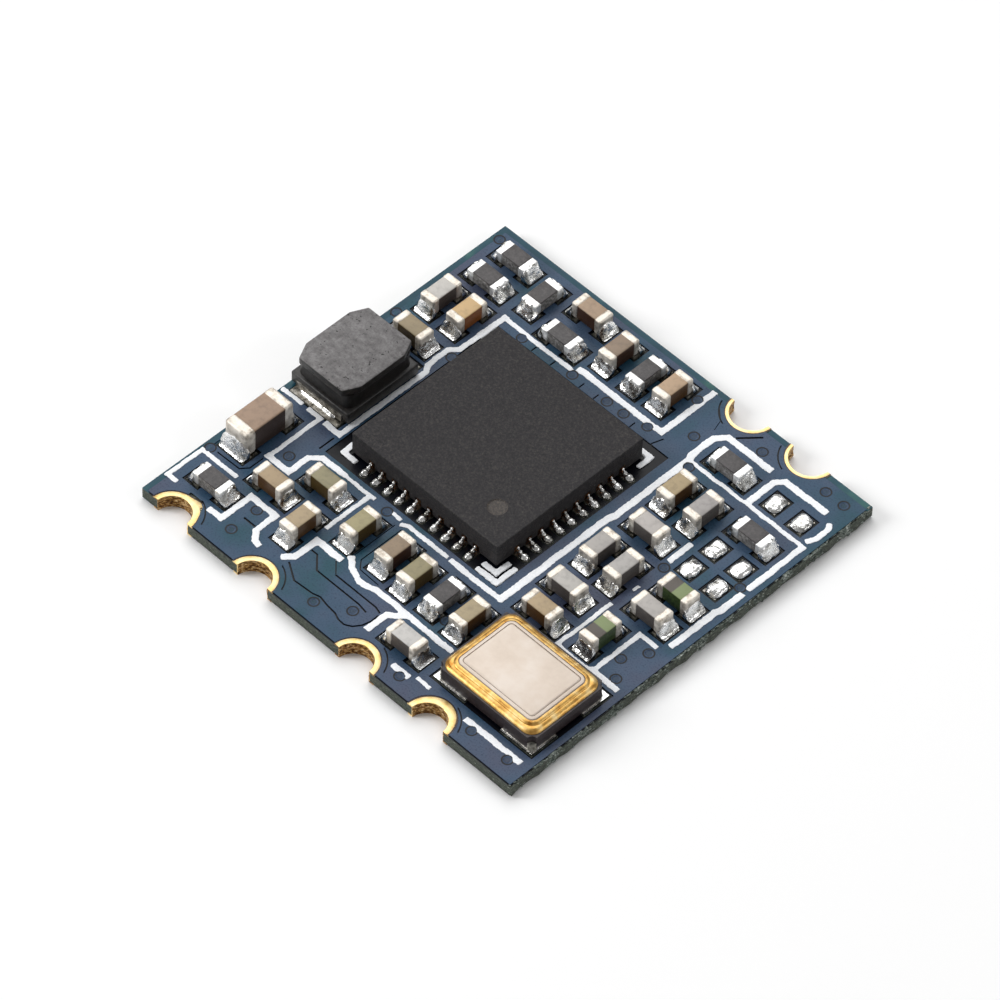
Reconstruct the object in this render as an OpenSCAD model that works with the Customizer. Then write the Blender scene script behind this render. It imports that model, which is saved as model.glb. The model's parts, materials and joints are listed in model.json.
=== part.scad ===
// Wireless radio module: a small castellated circuit board that is soldered flat onto a bigger board.
// It carries a leadless radio chip, a sealed crystal, a drum-core power inductor and 34 small chip parts.
// Millimetres, +Z up. Origin: middle of the board's outline, on the underside that rests on the host board.
// The front edge (-Y) has four half-hole contacts, the rear edge (+Y) two. The right edge (+X) is snapped.

/* [Board] */
// Length of the board along X
board_w = 12.7; // [12.5:0.1:14]
// Depth of the board along Y
board_d = 12.4; // [12.2:0.1:14]
// Thickness of the glass-epoxy core
core_t = 0.3; // [0.25:0.05:1.2]
// Thickness of each copper layer
copper_t = 0.03; // [0.02:0.005:0.07]
// Thickness of the solder mask over copper
mask_t = 0.02; // [0.015:0.005:0.04]
// Thickness of the printed white legend
legend_t = 0.015; // [0.01:0.005:0.03]
// Bare band between the copper and the left and rear edges
edge_band = 0.2; // [0.1:0.01:0.3]
// Bare band between the copper and the front and right edges
edge_trim = 0.05; // [0.03:0.01:0.1]
// Depth of the ragged fibres on the snapped right edge
snag = 0.06; // [0.02:0.01:0.1]
// Spacing of the ragged fibres along the snapped edge
snag_step = 0.31; // [0.2:0.01:0.6]

/* [Copper and mask] */
// Gap in the copper round each land
land_gap = 0.1; // [0.08:0.01:0.12]
// Gap between a land and the edge of its mask window
window_gap = 0.03; // [0.02:0.005:0.04]
// Thickness of the mask down the side of a copper edge
mask_side = 0.02; // [0.01:0.005:0.03]
// Outside diameter of a plated through hole
via_d = 0.18; // [0.14:0.01:0.2]
// Plating thickness inside a through hole
via_wall = 0.04; // [0.02:0.005:0.05]
// Diameter of the copper ring round a through hole
via_ring_d = 0.25; // [0.24:0.01:0.26]
// Diameter of the dimple in the mask over a through hole
via_dimple_d = 0.22; // [0.2:0.01:0.24]
// Depth of that dimple
via_dimple_t = 0.01; // [0.005:0.001:0.012]

/* [Edge contacts] */
// Diameter of each half hole on the front edge
contact_d = 1.08; // [0.9:0.02:1.16]
// Diameter of each half hole on the rear edge
rear_contact_d = 1.2; // [1.1:0.02:1.24]
// Plating thickness inside the half hole
contact_wall = 0.03; // [0.02:0.005:0.06]
// Diameter of the gold land round the half hole
contact_land_d = 1.32; // [1.26:0.02:1.36]
// How far the hole's centre lies outside the board's edge
contact_out = 0.03; // [0:0.01:0.1]
// Radius of the groove round a contact's copper
contact_groove_r = 0.82; // [0.78:0.01:0.85]
// How far right of the first contact's middle its track starts
track_shift = 0.1; // [0:0.02:0.2]
// Width of the track that leaves the first contact
track_w = 0.4; // [0.2:0.02:0.5]
// Length of that track's bare root beyond the land
track_l = 0.08; // [0.04:0.01:0.12]

/* [Radio chip] */
// Side of the square chip
chip_w = 5; // [4.8:0.1:5.2]
// Height of the chip
chip_h = 0.7; // [0.6:0.05:1]
// Leads on each side of the chip
lead_count = 10; // [6:1:11]
// Distance from one lead to the next
lead_pitch = 0.4; // [0.36:0.02:0.42]
// Width of a lead
lead_w = 0.2; // [0.14:0.01:0.24]
// Length of a lead under the chip
lead_l = 0.4; // [0.3:0.05:0.5]
// Thickness of the leads and the ground pad
lead_t = 0.2; // [0.15:0.01:0.25]
// Length of the land that shows outside the chip
toe_l = 0.38; // [0.3:0.02:0.4]
// Side of the square ground pad
ground_w = 3.6; // [3:0.1:3.7]
// Side of the silicon die
die_w = 3; // [2:0.1:3.3]
// Thickness of the silicon die
die_t = 0.2; // [0.1:0.01:0.25]
// Diameter of the pin-one dimple
dimple_d = 0.52; // [0.3:0.02:0.8]
// Depth of the pin-one dimple
dimple_t = 0.03; // [0.01:0.01:0.06]
// Gap between the chip's sides and the marks printed at its corners
mark_out = 0.14; // [0.1:0.01:0.2]

/* [Crystal] */
// Length of the ceramic base along X
crystal_w = 3.2; // [3:0.05:3.3]
// Depth of the ceramic base along Y
crystal_d = 2.5; // [2.3:0.05:2.6]
// Height of the ceramic base
crystal_base_h = 0.4; // [0.35:0.01:0.6]
// Wall of the ceramic base round its cavity
crystal_wall = 0.35; // [0.3:0.01:0.4]
// Floor of the ceramic base under its cavity
crystal_floor = 0.14; // [0.1:0.01:0.18]
// Radius of the notch in each corner of the base
crystal_notch_r = 0.16; // [0.1:0.01:0.2]
// Plating thickness in the corner notches and on the underside
crystal_plate = 0.02; // [0.01:0.005:0.03]
// Length of each land on the underside along X
crystal_land_w = 1; // [0.8:0.05:1.2]
// Depth of each land on the underside along Y
crystal_land_d = 0.8; // [0.6:0.05:0.95]
// Step from the base's sides in to the seal ring
ring_step = 0.05; // [0.03:0.01:0.08]
// Width of the seal ring
ring_w = 0.34; // [0.3:0.01:0.4]
// Height of the seal ring
ring_h = 0.1; // [0.06:0.01:0.15]
// Step from the seal ring's side in to the lid
lid_step = 0.14; // [0.1:0.01:0.16]
// Thickness of the lid's brim
lid_t = 0.05; // [0.03:0.01:0.08]
// Height of the raised middle of the lid above its brim
lid_rise = 0.05; // [0.03:0.01:0.1]
// Width of the lid's brim round the raised middle
lid_brim = 0.13; // [0.1:0.01:0.2]
// Corner radius of the seal ring
ring_r = 0.3; // [0.25:0.01:0.34]
// Length of the quartz blank
blank_w = 2; // [1.6:0.05:2.1]
// Depth of the quartz blank
blank_d = 1.3; // [1:0.05:1.5]
// Gap between the blank's held end and the cavity wall
blank_gap = 0.1; // [0.05:0.01:0.15]
// Thickness of the quartz blank
blank_t = 0.05; // [0.03:0.01:0.08]
// Length of the ledge that holds one end of the blank
ledge_w = 0.4; // [0.3:0.05:0.6]
// Height of that ledge above the cavity floor
ledge_h = 0.1; // [0.06:0.01:0.12]

/* [Power inductor] */
// Length of the drum core's base along Y
drum_d = 2.5; // [2.3:0.05:2.6]
// Width of the drum core's base along X
drum_w = 2; // [1.8:0.05:2.1]
// Height of the drum core
drum_h = 1.05; // [0.9:0.05:1.4]
// Thickness of the lower flange
drum_foot_t = 0.35; // [0.25:0.01:0.4]
// Thickness of the upper flange
drum_top_t = 0.25; // [0.2:0.01:0.35]
// Step from the base's sides in to the upper flange
drum_top_step = 0.03; // [0.02:0.01:0.1]
// Length of the cut at each corner of the upper flange, along X
drum_corner_w = 0.22; // [0.1:0.01:0.35]
// Length of that cut along Y
drum_corner_d = 0.45; // [0.2:0.01:0.6]
// Height of the rim step round the upper flange's face
drum_rim_h = 0.06; // [0.03:0.01:0.1]
// Width of the rim step round the upper flange's face
drum_rim_w = 0.1; // [0.06:0.01:0.2]
// Diameter of the post inside the winding
drum_post_d = 0.9; // [0.7:0.05:1]
// Outside diameter of the winding
winding_d = 1.5; // [1.4:0.05:1.6]
// Step from the base's sides in to the black resin
resin_step = 0.1; // [0.05:0.01:0.15]
// Corner radius of the resin
resin_r = 0.2; // [0.1:0.01:0.25]
// Length of each terminal along Y
terminal_l = 0.45; // [0.35:0.05:0.7]
// Width of each terminal along X
terminal_w = 1.6; // [1.2:0.05:1.8]
// Thickness of each terminal
terminal_t = 0.03; // [0.02:0.005:0.05]
// Height of each terminal up the foot's end
terminal_up = 0.18; // [0.1:0.01:0.22]

/* [Small chip parts] */
// Length of a small chip part
case_l = 1; // [0.9:0.02:1.06]
// Width of a small chip part
case_w = 0.5; // [0.44:0.02:0.54]
// Height of a chip capacitor
capacitor_h = 0.5; // [0.4:0.02:0.56]
// Height of a chip resistor
resistor_h = 0.35; // [0.3:0.01:0.4]
// Height of a ceramic chip inductor
bead_h = 0.5; // [0.4:0.02:0.56]
// Length of the metal end on a small chip part
end_l = 0.22; // [0.16:0.01:0.28]
// How far the metal ends stand proud of the body
end_step = 0.015; // [0.01:0.005:0.025]
// Rounding of a capacitor's long edges
edge_r = 0.05; // [0.03:0.01:0.08]
// Rounding of a resistor's long edges
resistor_edge_r = 0.02; // [0.01:0.005:0.04]
// Height of a resistor's black glaze above its metal ends
glaze_t = 0.01; // [0.005:0.005:0.02]
// How much narrower than the resistor its black glaze is
glaze_in = 0.06; // [0.04:0.01:0.1]
// Length of the bulk capacitor
bulk_l = 1.6; // [1.5:0.05:1.65]
// Width of the bulk capacitor
bulk_w = 0.8; // [0.7:0.02:0.84]
// Height of the bulk capacitor
bulk_h = 0.78; // [0.7:0.02:0.9]
// Length of the metal end on the bulk capacitor
bulk_end_l = 0.32; // [0.25:0.01:0.45]
// Rounding of the bulk capacitor's long edges
bulk_edge_r = 0.08; // [0.05:0.01:0.12]

/* [Solder] */
// Thickness of the solder between a part and its land
solder_t = 0.04; // [0.025:0.005:0.06]
// How far a land reaches past the end of its part
heel_l = 0.17; // [0.12:0.01:0.18]
// How far a land is wider than its part on each side
land_side = 0.025; // [0.01:0.005:0.03]
// How far solder climbs a part's end, as a share of its height
climb = 0.6; // [0.4:0.05:0.8]
// Height of the solder dome on an empty land
dome_h = 0.12; // [0.08:0.01:0.2]
// Height of the dome's rim above its land
dome_rim = 0.03; // [0.02:0.005:0.05]
// Length of an empty land
bare_land_l = 0.42; // [0.36:0.02:0.46]
// Width of an empty land
bare_land_w = 0.54; // [0.48:0.02:0.58]
// Distance between the two lands of an empty place
bare_pitch = 0.85; // [0.75:0.01:0.9]

/* [Hidden] */
$fn = 48;
CAPACITORS = 22;
RESISTORS = 9;
BEADS = 2;
function numbered(name, count) = [for (i = [1 : count]) str(name, i < 10 ? "_0" : "_", i)];

// Heights, from the underside up
core_z = mask_t + copper_t;
copper_z = core_z + core_t;
land_z = copper_z + copper_t;
mask_z = land_z + mask_t;
seat_z = land_z + solder_t;
eps = 0.1;

// Places are given from the nearest edge of the board, so that they follow its size
function left(s) = -board_w / 2 + s;
function right(s) = board_w / 2 - s;
function front(s) = -board_d / 2 + s;
function rear(s) = board_d / 2 - s;

chip_at = [-1.15, 0.75];
crystal_at = [right(2), front(2.3)];
drum_at = [left(1.04), -0.04];
bulk_at = [left(0.7), -2.95];
// Each contact's place along its edge, and how much longer than round its land is
front_contacts = [[left(1.07), 0], [left(3.87), 0], [1.03, 0], [right(2.82), 0.08]];
rear_contacts = [[right(4.15), 0], [right(2.14), 0]];

// Capacitor body colours
brown = [0.62, 0.47, 0.36];
tan = [0.68, 0.55, 0.36];
olive = [0.55, 0.5, 0.3];
grey = [0.7, 0.68, 0.66];

// Small chip parts: x, y, turn and, for a capacitor, the colour of its body
capacitor_places = [
    [-2.6, rear(0.7), 0, brown], [-1.3, rear(1.1), 90, brown], [0.5, rear(1.05), 90, brown],
    [left(0.7), 3.25, 90, grey], [left(1.6), 3.25, 90, tan], [left(1.1), 1.9, 0, tan],
    [-3.2, front(3.15), 0, olive], [left(2.25), front(2.25), 0, tan], [-2.75, front(1.85), 90, tan],
    [-1.65, front(2.8), 90, olive], [-0.5, front(2.85), 90, brown], [0.35, front(2.75), 90, olive],
    [2.15, front(2.75), 90, tan], [1.65, front(1.15), 0, grey], [right(3.15), -2.05, 0, tan],
    [right(3.25), -1.1, 0, grey], [right(1.3), -0.2, 0, grey], [right(3.55), 2.95, 90, tan],
    [right(2.65), 2.95, 90, grey], [right(3.15), 1.6, 0, grey], [right(3.55), 0.3, 90, grey],
    [right(2.7), 0.25, 90, grey]
];
resistor_places = [
    [left(1.15), rear(0.75), 0], [left(2.45), rear(1.15), 90], [-0.35, rear(1.1), 90],
    [left(1.1), rear(1.7), 0], [-2.6, rear(1.75), 0], [left(1.2), front(1.25), 0],
    [1.25, front(2.8), 90], [right(3.2), rear(1.7), 0], [right(1.3), 3.3, 0]
];
bead_places = [[right(1.7), -1.55, 90], [right(1.25), 0.65, 0]];
bare_places = [[right(1.3), rear(1.65), 0], [right(1.3), 2.45, 0], [right(1.3), 1.6, 0]];

// Plated through holes
via_places = [
    [left(0.25), rear(0.45)], [-3.4, 3.85], [-1.7, 3.9], [-0.5, 3.9], [0.05, 3.92],
    [0.75, 4.05], [1, rear(0.65)], [1.75, rear(1.55)], [right(3.1), rear(0.7)],
    [right(1.15), rear(0.5)], [right(0.55), rear(0.5)], [-4.15, 2.15], [left(0.2), 2.2],
    [left(1.75), -2.95], [left(0.23), front(2.05)], [-3.9, front(1.5)], [-3.9, front(0.65)],
    [-0.05, front(1)], [-0.9, front(0.52)], [1.7, front(2.4)], [right(0.6), -1],
    [right(0.95), -1.6], [right(0.6), -2.12], [right(2.2), 1.15], [right(0.5), 2.03],
    [right(4), 3.85], [right(1.85), front(0.5)], [right(0.65), front(0.5)],
    [2.15, front(0.42)], [-1.7, -2.45]
];

// Isolating grooves in the top copper: width, then the points of the centre line
groove_lines = [
    [0.09, [[-2.1, front(1.6)], [-1.9, front(1.6)], [-1.55, front(1.25)], [-0.1, front(1.25)],
        [0.2, front(1.2)]]],
    [0.09, [[-1.15, front(1.48)], [0.25, front(1.48)], [0.45, front(1.42)]]],
    [0.07, [[-1.5, front(1.85)], [-1.15, front(1.5)]]],
    [0.09, [[-2.2, front(0.95)], [-1.7, front(0.64)], [-1.1, front(0.68)], [-0.9, front(0.74)],
        [-0.6, front(0.68)], [-0.3, front(0.65)], [-0.1, front(0.57)], [0.1, front(0.56)],
        [0.28, front(0.66)], [0.42, front(0.86)], [0.48, front(1.1)], [0.48, front(1.35)]]],
    [0.07, [[-1.27, front(3.6)], [-1.27, front(2.2)]]],
    [0.07, [[-1.05, front(3.6)], [-1.05, front(2.25)], [-0.85, front(2.02)], [-0.2, front(2)]]],
    [0.08, [[left(1.36), -3.45], [left(1.36), front(2.3)], [left(1.2), front(2.1)],
        [left(0.45), front(2.08)]]],
    [0.09, [[-4.27, -1.75], [-4.27, -2.25]]],
    [0.1, [[right(3.85), rear(0.85)], [right(3.4), rear(0.35)]]],
    [0.06, [[1.55, rear(0.45)], [1.85, rear(0.72)], [1.95, rear(1.05)]]],
    [0.08, [[1.3, rear(2.15)], [1.2, rear(2.45)], [1.2, rear(2.6)]]],
    [0.08, [[-2.95, 3.72], [-2.95, 3.92]]],
    [0.08, [[-2.3, 3.72], [-2.3, 3.92]]],
    [0.08, [[-1.3, 3.72], [-1.3, 3.92]]],
    [0.08, [[-0.8, 3.72], [-0.8, 3.92]]],
    [0.08, [[0.45, 3.72], [0.45, 3.92]]],
    [0.1, [[-3.95, front(1.12)], [-3.55, front(1.12)]]]
];

// White legend lines: width, then the points of the centre line
legend_lines = [
    [0.13, [[-4.2, 4], [-1.8, 4]]],
    [0.18, [[-1.75, 4.15], [1.12, 4.15], [1.12, rear(0.15)]]],
    [0.16, [[-4.16, 4.1], [-4.2, 2.45], [-4.38, 2.25], [-4.38, 1.55], [-4.24, 1.35],
        [-4.24, -1.58], [-4.8, -1.58]]],
    [0.12, [[left(1.45), -1.56], [left(0.95), -1.56]]],
    [0.12, [[left(0.78), -1.56], [left(0.05), -1.56]]],
    [0.12, [[left(1.41), -1.5], [left(1.41), -3.3]]],
    [0.17, [[left(1.33), -3.31], [-4.24, -3.31], [-4.24, -2.65], [-4, -2.4], [-3.2, -2.4]]],
    [0.11, [[-3.25, -2.4], [-2.18, -2.4]]],
    [0.12, [[-2.34, -2.4], [-2.34, front(2.3)]]],
    [0.19, [[-1.35, front(1.9)], [-2.21, front(1.9)], [-2.21, front(1.15)], [-2.45, front(0.92)]]],
    [0.17, [[-1.3, front(2.15)], [-1, front(1.9)], [-0.6, front(1.75)], [-0.35, front(1.78)],
        [-0.12, front(1.86)], [right(3.85), front(1.84)]]],
    [0.18, [[0.95, front(1.8)], [0.6, front(1.5)], [0.59, front(0.82)]]],
    [0.11, [[-1.6, -2.4], [-1.27, -2.4]]],
    [0.12, [[-1.2, -2.5], [-1, -2.4], [0.35, -2.4]]],
    [0.15, [[0.42, -2.41], [right(4.15), -2.41]]],
    [0.19, [[right(2.5), rear(0.98)], [right(4), rear(0.98)], [right(4.22), rear(1.25)],
        [right(4.22), rear(2)], [right(4.15), rear(2.2)], [right(4.15), 1.4],
        [right(4.21), 1.2], [right(4.21), -2.45]]],
    [0.11, [[right(4.1), rear(2.18)], [right(2.3), rear(2.18)]]],
    [0.12, [[right(2.2), rear(2.17)], [right(0.3), rear(2.17)]]],
    [0.18, [[right(2.22), rear(2.22)], [right(2.22), rear(1.2)], [right(2.05), rear(0.98)],
        [right(0.65), rear(0.98)]]],
    [0.15, [[right(0.4), rear(1.17)], [right(0.29), rear(1.35)], [right(0.29), rear(1.75)],
        [right(0.4), rear(2)]]],
    [0.17, [[right(0.33), rear(2.12)], [right(0.33), 2.1]]],
    [0.18, [[right(0.33), 1.94], [right(0.33), 1.15], [right(0.38), 1.05], [right(0.38), -0.5]]],
    [0.13, [[right(0.57), -0.75], [right(1.15), -0.75], [right(1.15), -2.35]]],
    [0.11, [[right(2.38), -2.39], [right(1.2), -2.39]]],
    [0.16, [[right(1.25), -2.35], [right(0.3), -2.35]]],
    [0.11, [[right(2.29), -0.55], [right(2.29), -1.9], [right(2.32), -2.4]]],
    [0.16, [[right(2.26), 2.17], [right(2.26), 1.36]]],
    [0.09, [[right(2.21), 0.32], [right(2.21), 0.1]]],
    [0.12, [[left(1.37), front(1.87)], [left(0.14), front(1.87)], [left(0.14), front(0.72)],
        [left(0.45), front(0.72)]]],
    [0.17, [[left(1.58), front(0.7)], [-4.31, front(0.7)], [-4.31, front(1.7)],
        [-3.45, front(1.7)], [-3.45, front(1.05)], [-3.25, front(0.82)], [-3.03, front(0.77)]]],
    [0.17, [[1.78, front(0.55)], [2.35, front(0.55)]]],
    [0.11, [[right(3.89), front(0.68)], [right(3.42), front(0.68)]]],
    [0.17, [[right(2.2), front(0.65)], [right(0.35), front(0.65)]]]
];

// Marks at the chip's corners, measured from its middle outwards
mark_in = chip_w / 2 + mark_out;
mark_w = 0.14;
mark_arm = 0.45;
mark_gap = 0.22;

// The half of a chain of points on one side of its centre line, mitred at each bend
function unit(v) = v / norm(v);
function across(v) = [-v[1], v[0]];
function normal(p, i) = across(unit(p[i + 1] - p[i]));
function mitre(p, i) =
    i == 0 ? normal(p, 0)
    : i == len(p) - 1 ? normal(p, i - 1)
    : let (a = normal(p, i - 1), b = normal(p, i)) (a + b) / (1 + a * b);
module stroke(w, p) {
    last = len(p) - 1;
    polygon(concat(
        [for (i = [0 : last]) p[i] + mitre(p, i) * w / 2],
        [for (i = [last : -1 : 0]) p[i] - mitre(p, i) * w / 2]
    ));
}
module strokes(lines, thinner = 0) {
    for (l = lines) stroke(l[0] - thinner, l[1]);
}

module at(place) {
    translate([place[0], place[1]]) rotate(place[2] == undef ? 0 : place[2]) children();
}
module box_2d(w, d) {
    translate([-w / 2, -d / 2]) square([w, d]);
}
module rounded_2d(w, d, r) {
    box_2d(w - 2 * r, d);
    box_2d(w, d - 2 * r);
    for (x = [-1, 1], y = [-1, 1]) translate([x * (w / 2 - r), y * (d / 2 - r)]) circle(r);
}
// A box whose corners are cut by `cut`, given along each axis
module cut_corner_2d(size, cut) {
    outer = size / 2;
    inner = outer - cut;
    polygon([
        [outer[0], inner[1]], [inner[0], outer[1]], [-inner[0], outer[1]], [-outer[0], inner[1]],
        [-outer[0], -inner[1]], [-inner[0], -outer[1]], [inner[0], -outer[1]], [outer[0], -inner[1]]
    ]);
}
module layer(z, t) {
    translate([0, 0, z]) linear_extrude(t) children();
}

// --- Board -------------------------------------------------------------------------------------

module at_contacts() {
    for (c = front_contacts) translate([c[0], front(-contact_out)]) children();
    for (c = rear_contacts) translate([c[0], rear(-contact_out)]) rotate(180) children();
}
// The half holes themselves, or the same holes lined with a wall
module contact_holes(wall) {
    for (c = front_contacts) translate([c[0], front(-contact_out)])
        circle(contact_d / 2 - wall);
    for (c = rear_contacts) translate([c[0], rear(-contact_out)])
        circle(rear_contact_d / 2 - wall);
}
module contact_lands(grow) {
    r = contact_land_d / 2 + grow;
    at_contacts() circle(r);
    for (c = front_contacts) if (c[1] > 0) translate([c[0], front(-contact_out)]) {
        translate([0, c[1]]) circle(r);
        translate([-r, 0]) square([2 * r, c[1]]);
    }
    translate([front_contacts[0][0] + track_shift, front(contact_land_d / 2 - contact_out)])
        box_2d(track_w + 2 * grow, 2 * (track_l + grow));
}
module at_vias() {
    for (v = via_places) translate(v) children();
}

// The core's outline: three clean sides and a snapped one, whose fibres end at uneven depths
module core_2d() {
    steps = floor(board_d / snag_step);
    ragged = [for (i = [0 : steps])
        [right(snag * abs(sin(57 * i))), front(i * board_d / steps)]];
    polygon(concat([[left(0), rear(0)], [left(0), front(0)]], ragged));
}
// The outline inside the ragged edge, set in by a band at left and rear, and by a trim elsewhere
module smooth_outline_2d(band, trim) {
    translate([left(band), front(trim)])
        square([board_w - band - trim - snag, board_d - band - trim]);
}
module board_core() {
    color([0.45, 0.5, 0.42]) layer(core_z, core_t) difference() {
        core_2d();
        contact_holes(0);
        at_vias() circle(via_d / 2);
    }
}

// Lands of the parts, each grown by the same amount on every side
module pair_lands(l, w, end, grow) {
    inner = l / 2 - end;
    outer = l / 2 + heel_l;
    for (s = [-1, 1]) translate([s * (inner + outer) / 2, 0])
        box_2d(outer - inner + 2 * grow, w + 2 * land_side + 2 * grow);
}
module small_part_lands(grow) {
    for (p = concat(capacitor_places, resistor_places, bead_places))
        at(p) pair_lands(case_l, case_w, end_l, grow);
    at(concat(bulk_at, 90)) pair_lands(bulk_l, bulk_w, bulk_end_l, grow);
    at(concat(drum_at, 90)) pair_lands(drum_d, terminal_w, terminal_l, grow);
}
module bare_lands(grow) {
    for (p = bare_places) at(p) for (s = [-1, 1]) translate([s * bare_pitch / 2, 0])
        box_2d(bare_land_l + 2 * grow, bare_land_w + 2 * grow);
}
module at_leads() {
    first = -(lead_count - 1) / 2 * lead_pitch;
    for (side = [0 : 3], i = [0 : lead_count - 1])
        translate(chip_at) rotate(90 * side) translate([first + i * lead_pitch, -chip_w / 2])
            children();
}
// A lead's land, with a round toe outside the chip
module lead_land_2d(grow) {
    w = lead_w + 2 * grow;
    translate([0, lead_w / 2 - toe_l]) circle(w / 2);
    translate([-w / 2, lead_w / 2 - toe_l]) square([w, toe_l - lead_w / 2 + lead_l + grow]);
}
module chip_area(grow) {
    side = chip_w + 2 * (toe_l + grow);
    translate(chip_at) box_2d(side, side);
}
module crystal_lands_2d(reach, grow) {
    for (x = [-1, 1], y = [-1, 1]) {
        inner = [crystal_w / 2 - crystal_land_w - grow, crystal_d / 2 - crystal_land_d - grow];
        outer = [crystal_w / 2 + reach + grow, crystal_d / 2 + reach + grow];
        translate([x * (inner[0] + outer[0]) / 2, y * (inner[1] + outer[1]) / 2])
            box_2d(outer[0] - inner[0], outer[1] - inner[1]);
    }
}
crystal_reach = 0.05;
module crystal_area(grow) {
    translate(crystal_at)
        box_2d(crystal_w + 2 * (crystal_reach + grow), crystal_d + 2 * (crystal_reach + grow));
}
module lands_2d() {
    small_part_lands(0);
    bare_lands(0);
    at_leads() lead_land_2d(0);
    translate(chip_at) box_2d(ground_w, ground_w);
    translate(crystal_at) crystal_lands_2d(crystal_reach, 0);
}
// One mask window per land
module windows_2d() {
    small_part_lands(window_gap);
    bare_lands(window_gap);
    at_leads() lead_land_2d(window_gap);
    translate(chip_at) box_2d(ground_w + 2 * window_gap, ground_w + 2 * window_gap);
    translate(crystal_at) crystal_lands_2d(crystal_reach, window_gap);
    contact_lands(window_gap);
}
module contact_grooves(w) {
    at_contacts() intersection() {
        difference() {
            circle(contact_groove_r + w / 2);
            circle(contact_groove_r - w / 2);
        }
        translate([0.25, 0.25]) square(1);
    }
}
groove_w = 0.08;
// The copper left between the gaps, or the mask plateau over it when the gaps close by `cover`
module pour_2d(cover) {
    difference() {
        smooth_outline_2d(edge_band - cover, edge_trim - cover);
        strokes(groove_lines, 2 * cover);
        contact_grooves(groove_w - 2 * cover);
        small_part_lands(land_gap - cover);
        bare_lands(land_gap - cover);
        chip_area(land_gap - cover);
        crystal_area(land_gap - cover);
        contact_lands(window_gap);
    }
    at_vias() circle(via_ring_d / 2 + cover);
}
module bottom_pour_2d(cover) {
    difference() {
        smooth_outline_2d(edge_band - cover, edge_band - cover);
        at_contacts() circle(contact_land_d / 2 + window_gap);
    }
    at_vias() circle(via_ring_d / 2 + cover);
}
module top_copper() {
    color([0.8, 0.5, 0.32]) layer(copper_z, copper_t) difference() {
        union() {
            pour_2d(0);
            lands_2d();
        }
        at_vias() circle(via_d / 2);
    }
}
module bottom_copper() {
    color([0.8, 0.5, 0.32]) layer(mask_t, copper_t) difference() {
        bottom_pour_2d(0);
        at_vias() circle(via_d / 2);
    }
}
module top_mask() {
    color([0.34, 0.41, 0.49]) difference() {
        union() {
            layer(copper_z, mask_t) difference() {
                smooth_outline_2d(0, 0);
                windows_2d();
            }
            layer(copper_z, copper_t + mask_t) difference() {
                pour_2d(mask_side);
                windows_2d();
            }
        }
        layer(copper_z - eps, copper_t + eps) pour_2d(0);
        layer(mask_z - via_dimple_t, via_dimple_t + eps) at_vias() circle(via_dimple_d / 2);
    }
}
module bottom_mask() {
    color([0.34, 0.41, 0.49]) difference() {
        union() {
            layer(copper_t, mask_t) difference() {
                smooth_outline_2d(0, 0);
                at_contacts() circle(contact_land_d / 2 + window_gap);
            }
            layer(0, copper_t + mask_t) bottom_pour_2d(mask_side);
        }
        layer(mask_t, copper_t + eps) bottom_pour_2d(0);
    }
}
module chip_mark(from, w, arm) {
    stroke(w, [[from, from - arm], [from, from], [from - arm, from]]);
}
// The ink lies on the mask: on its plateau over copper, and down in the gaps that it crosses
module top_legend() {
    low_z = copper_z + mask_t;
    color([0.93, 0.95, 0.97]) difference() {
        layer(low_z, mask_z + legend_t - low_z) difference() {
            union() {
                strokes(legend_lines);
                translate(chip_at) for (turn = [0, 90, 180, -90]) rotate(turn)
                    chip_mark(mark_in, mark_w, mark_arm);
                translate(chip_at) rotate(-90)
                    chip_mark(mark_in + mark_gap, mark_w, mark_arm + mark_gap);
            }
            windows_2d();
            at_vias() circle(via_dimple_d / 2 + window_gap);
        }
        layer(copper_z, mask_z - copper_z) pour_2d(mask_side);
    }
}
module edge_contacts() {
    color([0.93, 0.76, 0.4]) for (rear_side = [0, 1]) intersection() {
        difference() {
            union() {
                layer(0, core_z) at_contacts() circle(contact_land_d / 2);
                layer(copper_z, copper_t + mask_t) contact_lands(0);
                layer(0, mask_z) contact_holes(0);
            }
            layer(-eps, mask_z + 2 * eps) contact_holes(contact_wall);
        }
        translate([left(0), rear_side ? 0 : front(0), -eps])
            cube([board_w, board_d / 2, mask_z + 2 * eps]);
    }
}
module via_barrels() {
    color([0.8, 0.5, 0.32]) layer(mask_t, land_z - mask_t) at_vias() difference() {
        circle(via_d / 2);
        circle(via_d / 2 - via_wall);
    }
}

// --- Radio chip --------------------------------------------------------------------------------

module chip_leads() {
    color([0.75, 0.55, 0.4]) layer(seat_z, lead_t) at_leads()
        translate([-lead_w / 2, 0]) square([lead_w, lead_l]);
}
module chip_ground_pad() {
    color([0.75, 0.55, 0.4]) layer(seat_z, lead_t) translate(chip_at) box_2d(ground_w, ground_w);
}
module chip_die() {
    color([0.35, 0.36, 0.4]) layer(seat_z + lead_t, die_t) translate(chip_at) box_2d(die_w, die_w);
}
dimple_in = 0.9;
module chip_moulding() {
    color([0.22, 0.22, 0.22]) difference() {
        layer(seat_z, chip_h) translate(chip_at) box_2d(chip_w, chip_w);
        layer(seat_z - eps, lead_t + eps) {
            at_leads() translate([-lead_w / 2, -eps]) square([lead_w, lead_l + eps]);
            translate(chip_at) box_2d(ground_w, ground_w);
        }
        layer(seat_z + lead_t - eps, die_t + eps) translate(chip_at) box_2d(die_w, die_w);
        layer(seat_z + chip_h - dimple_t, dimple_t + eps)
            translate(chip_at + (chip_w / 2 - dimple_in) * [1, -1]) circle(dimple_d / 2);
    }
}
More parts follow.
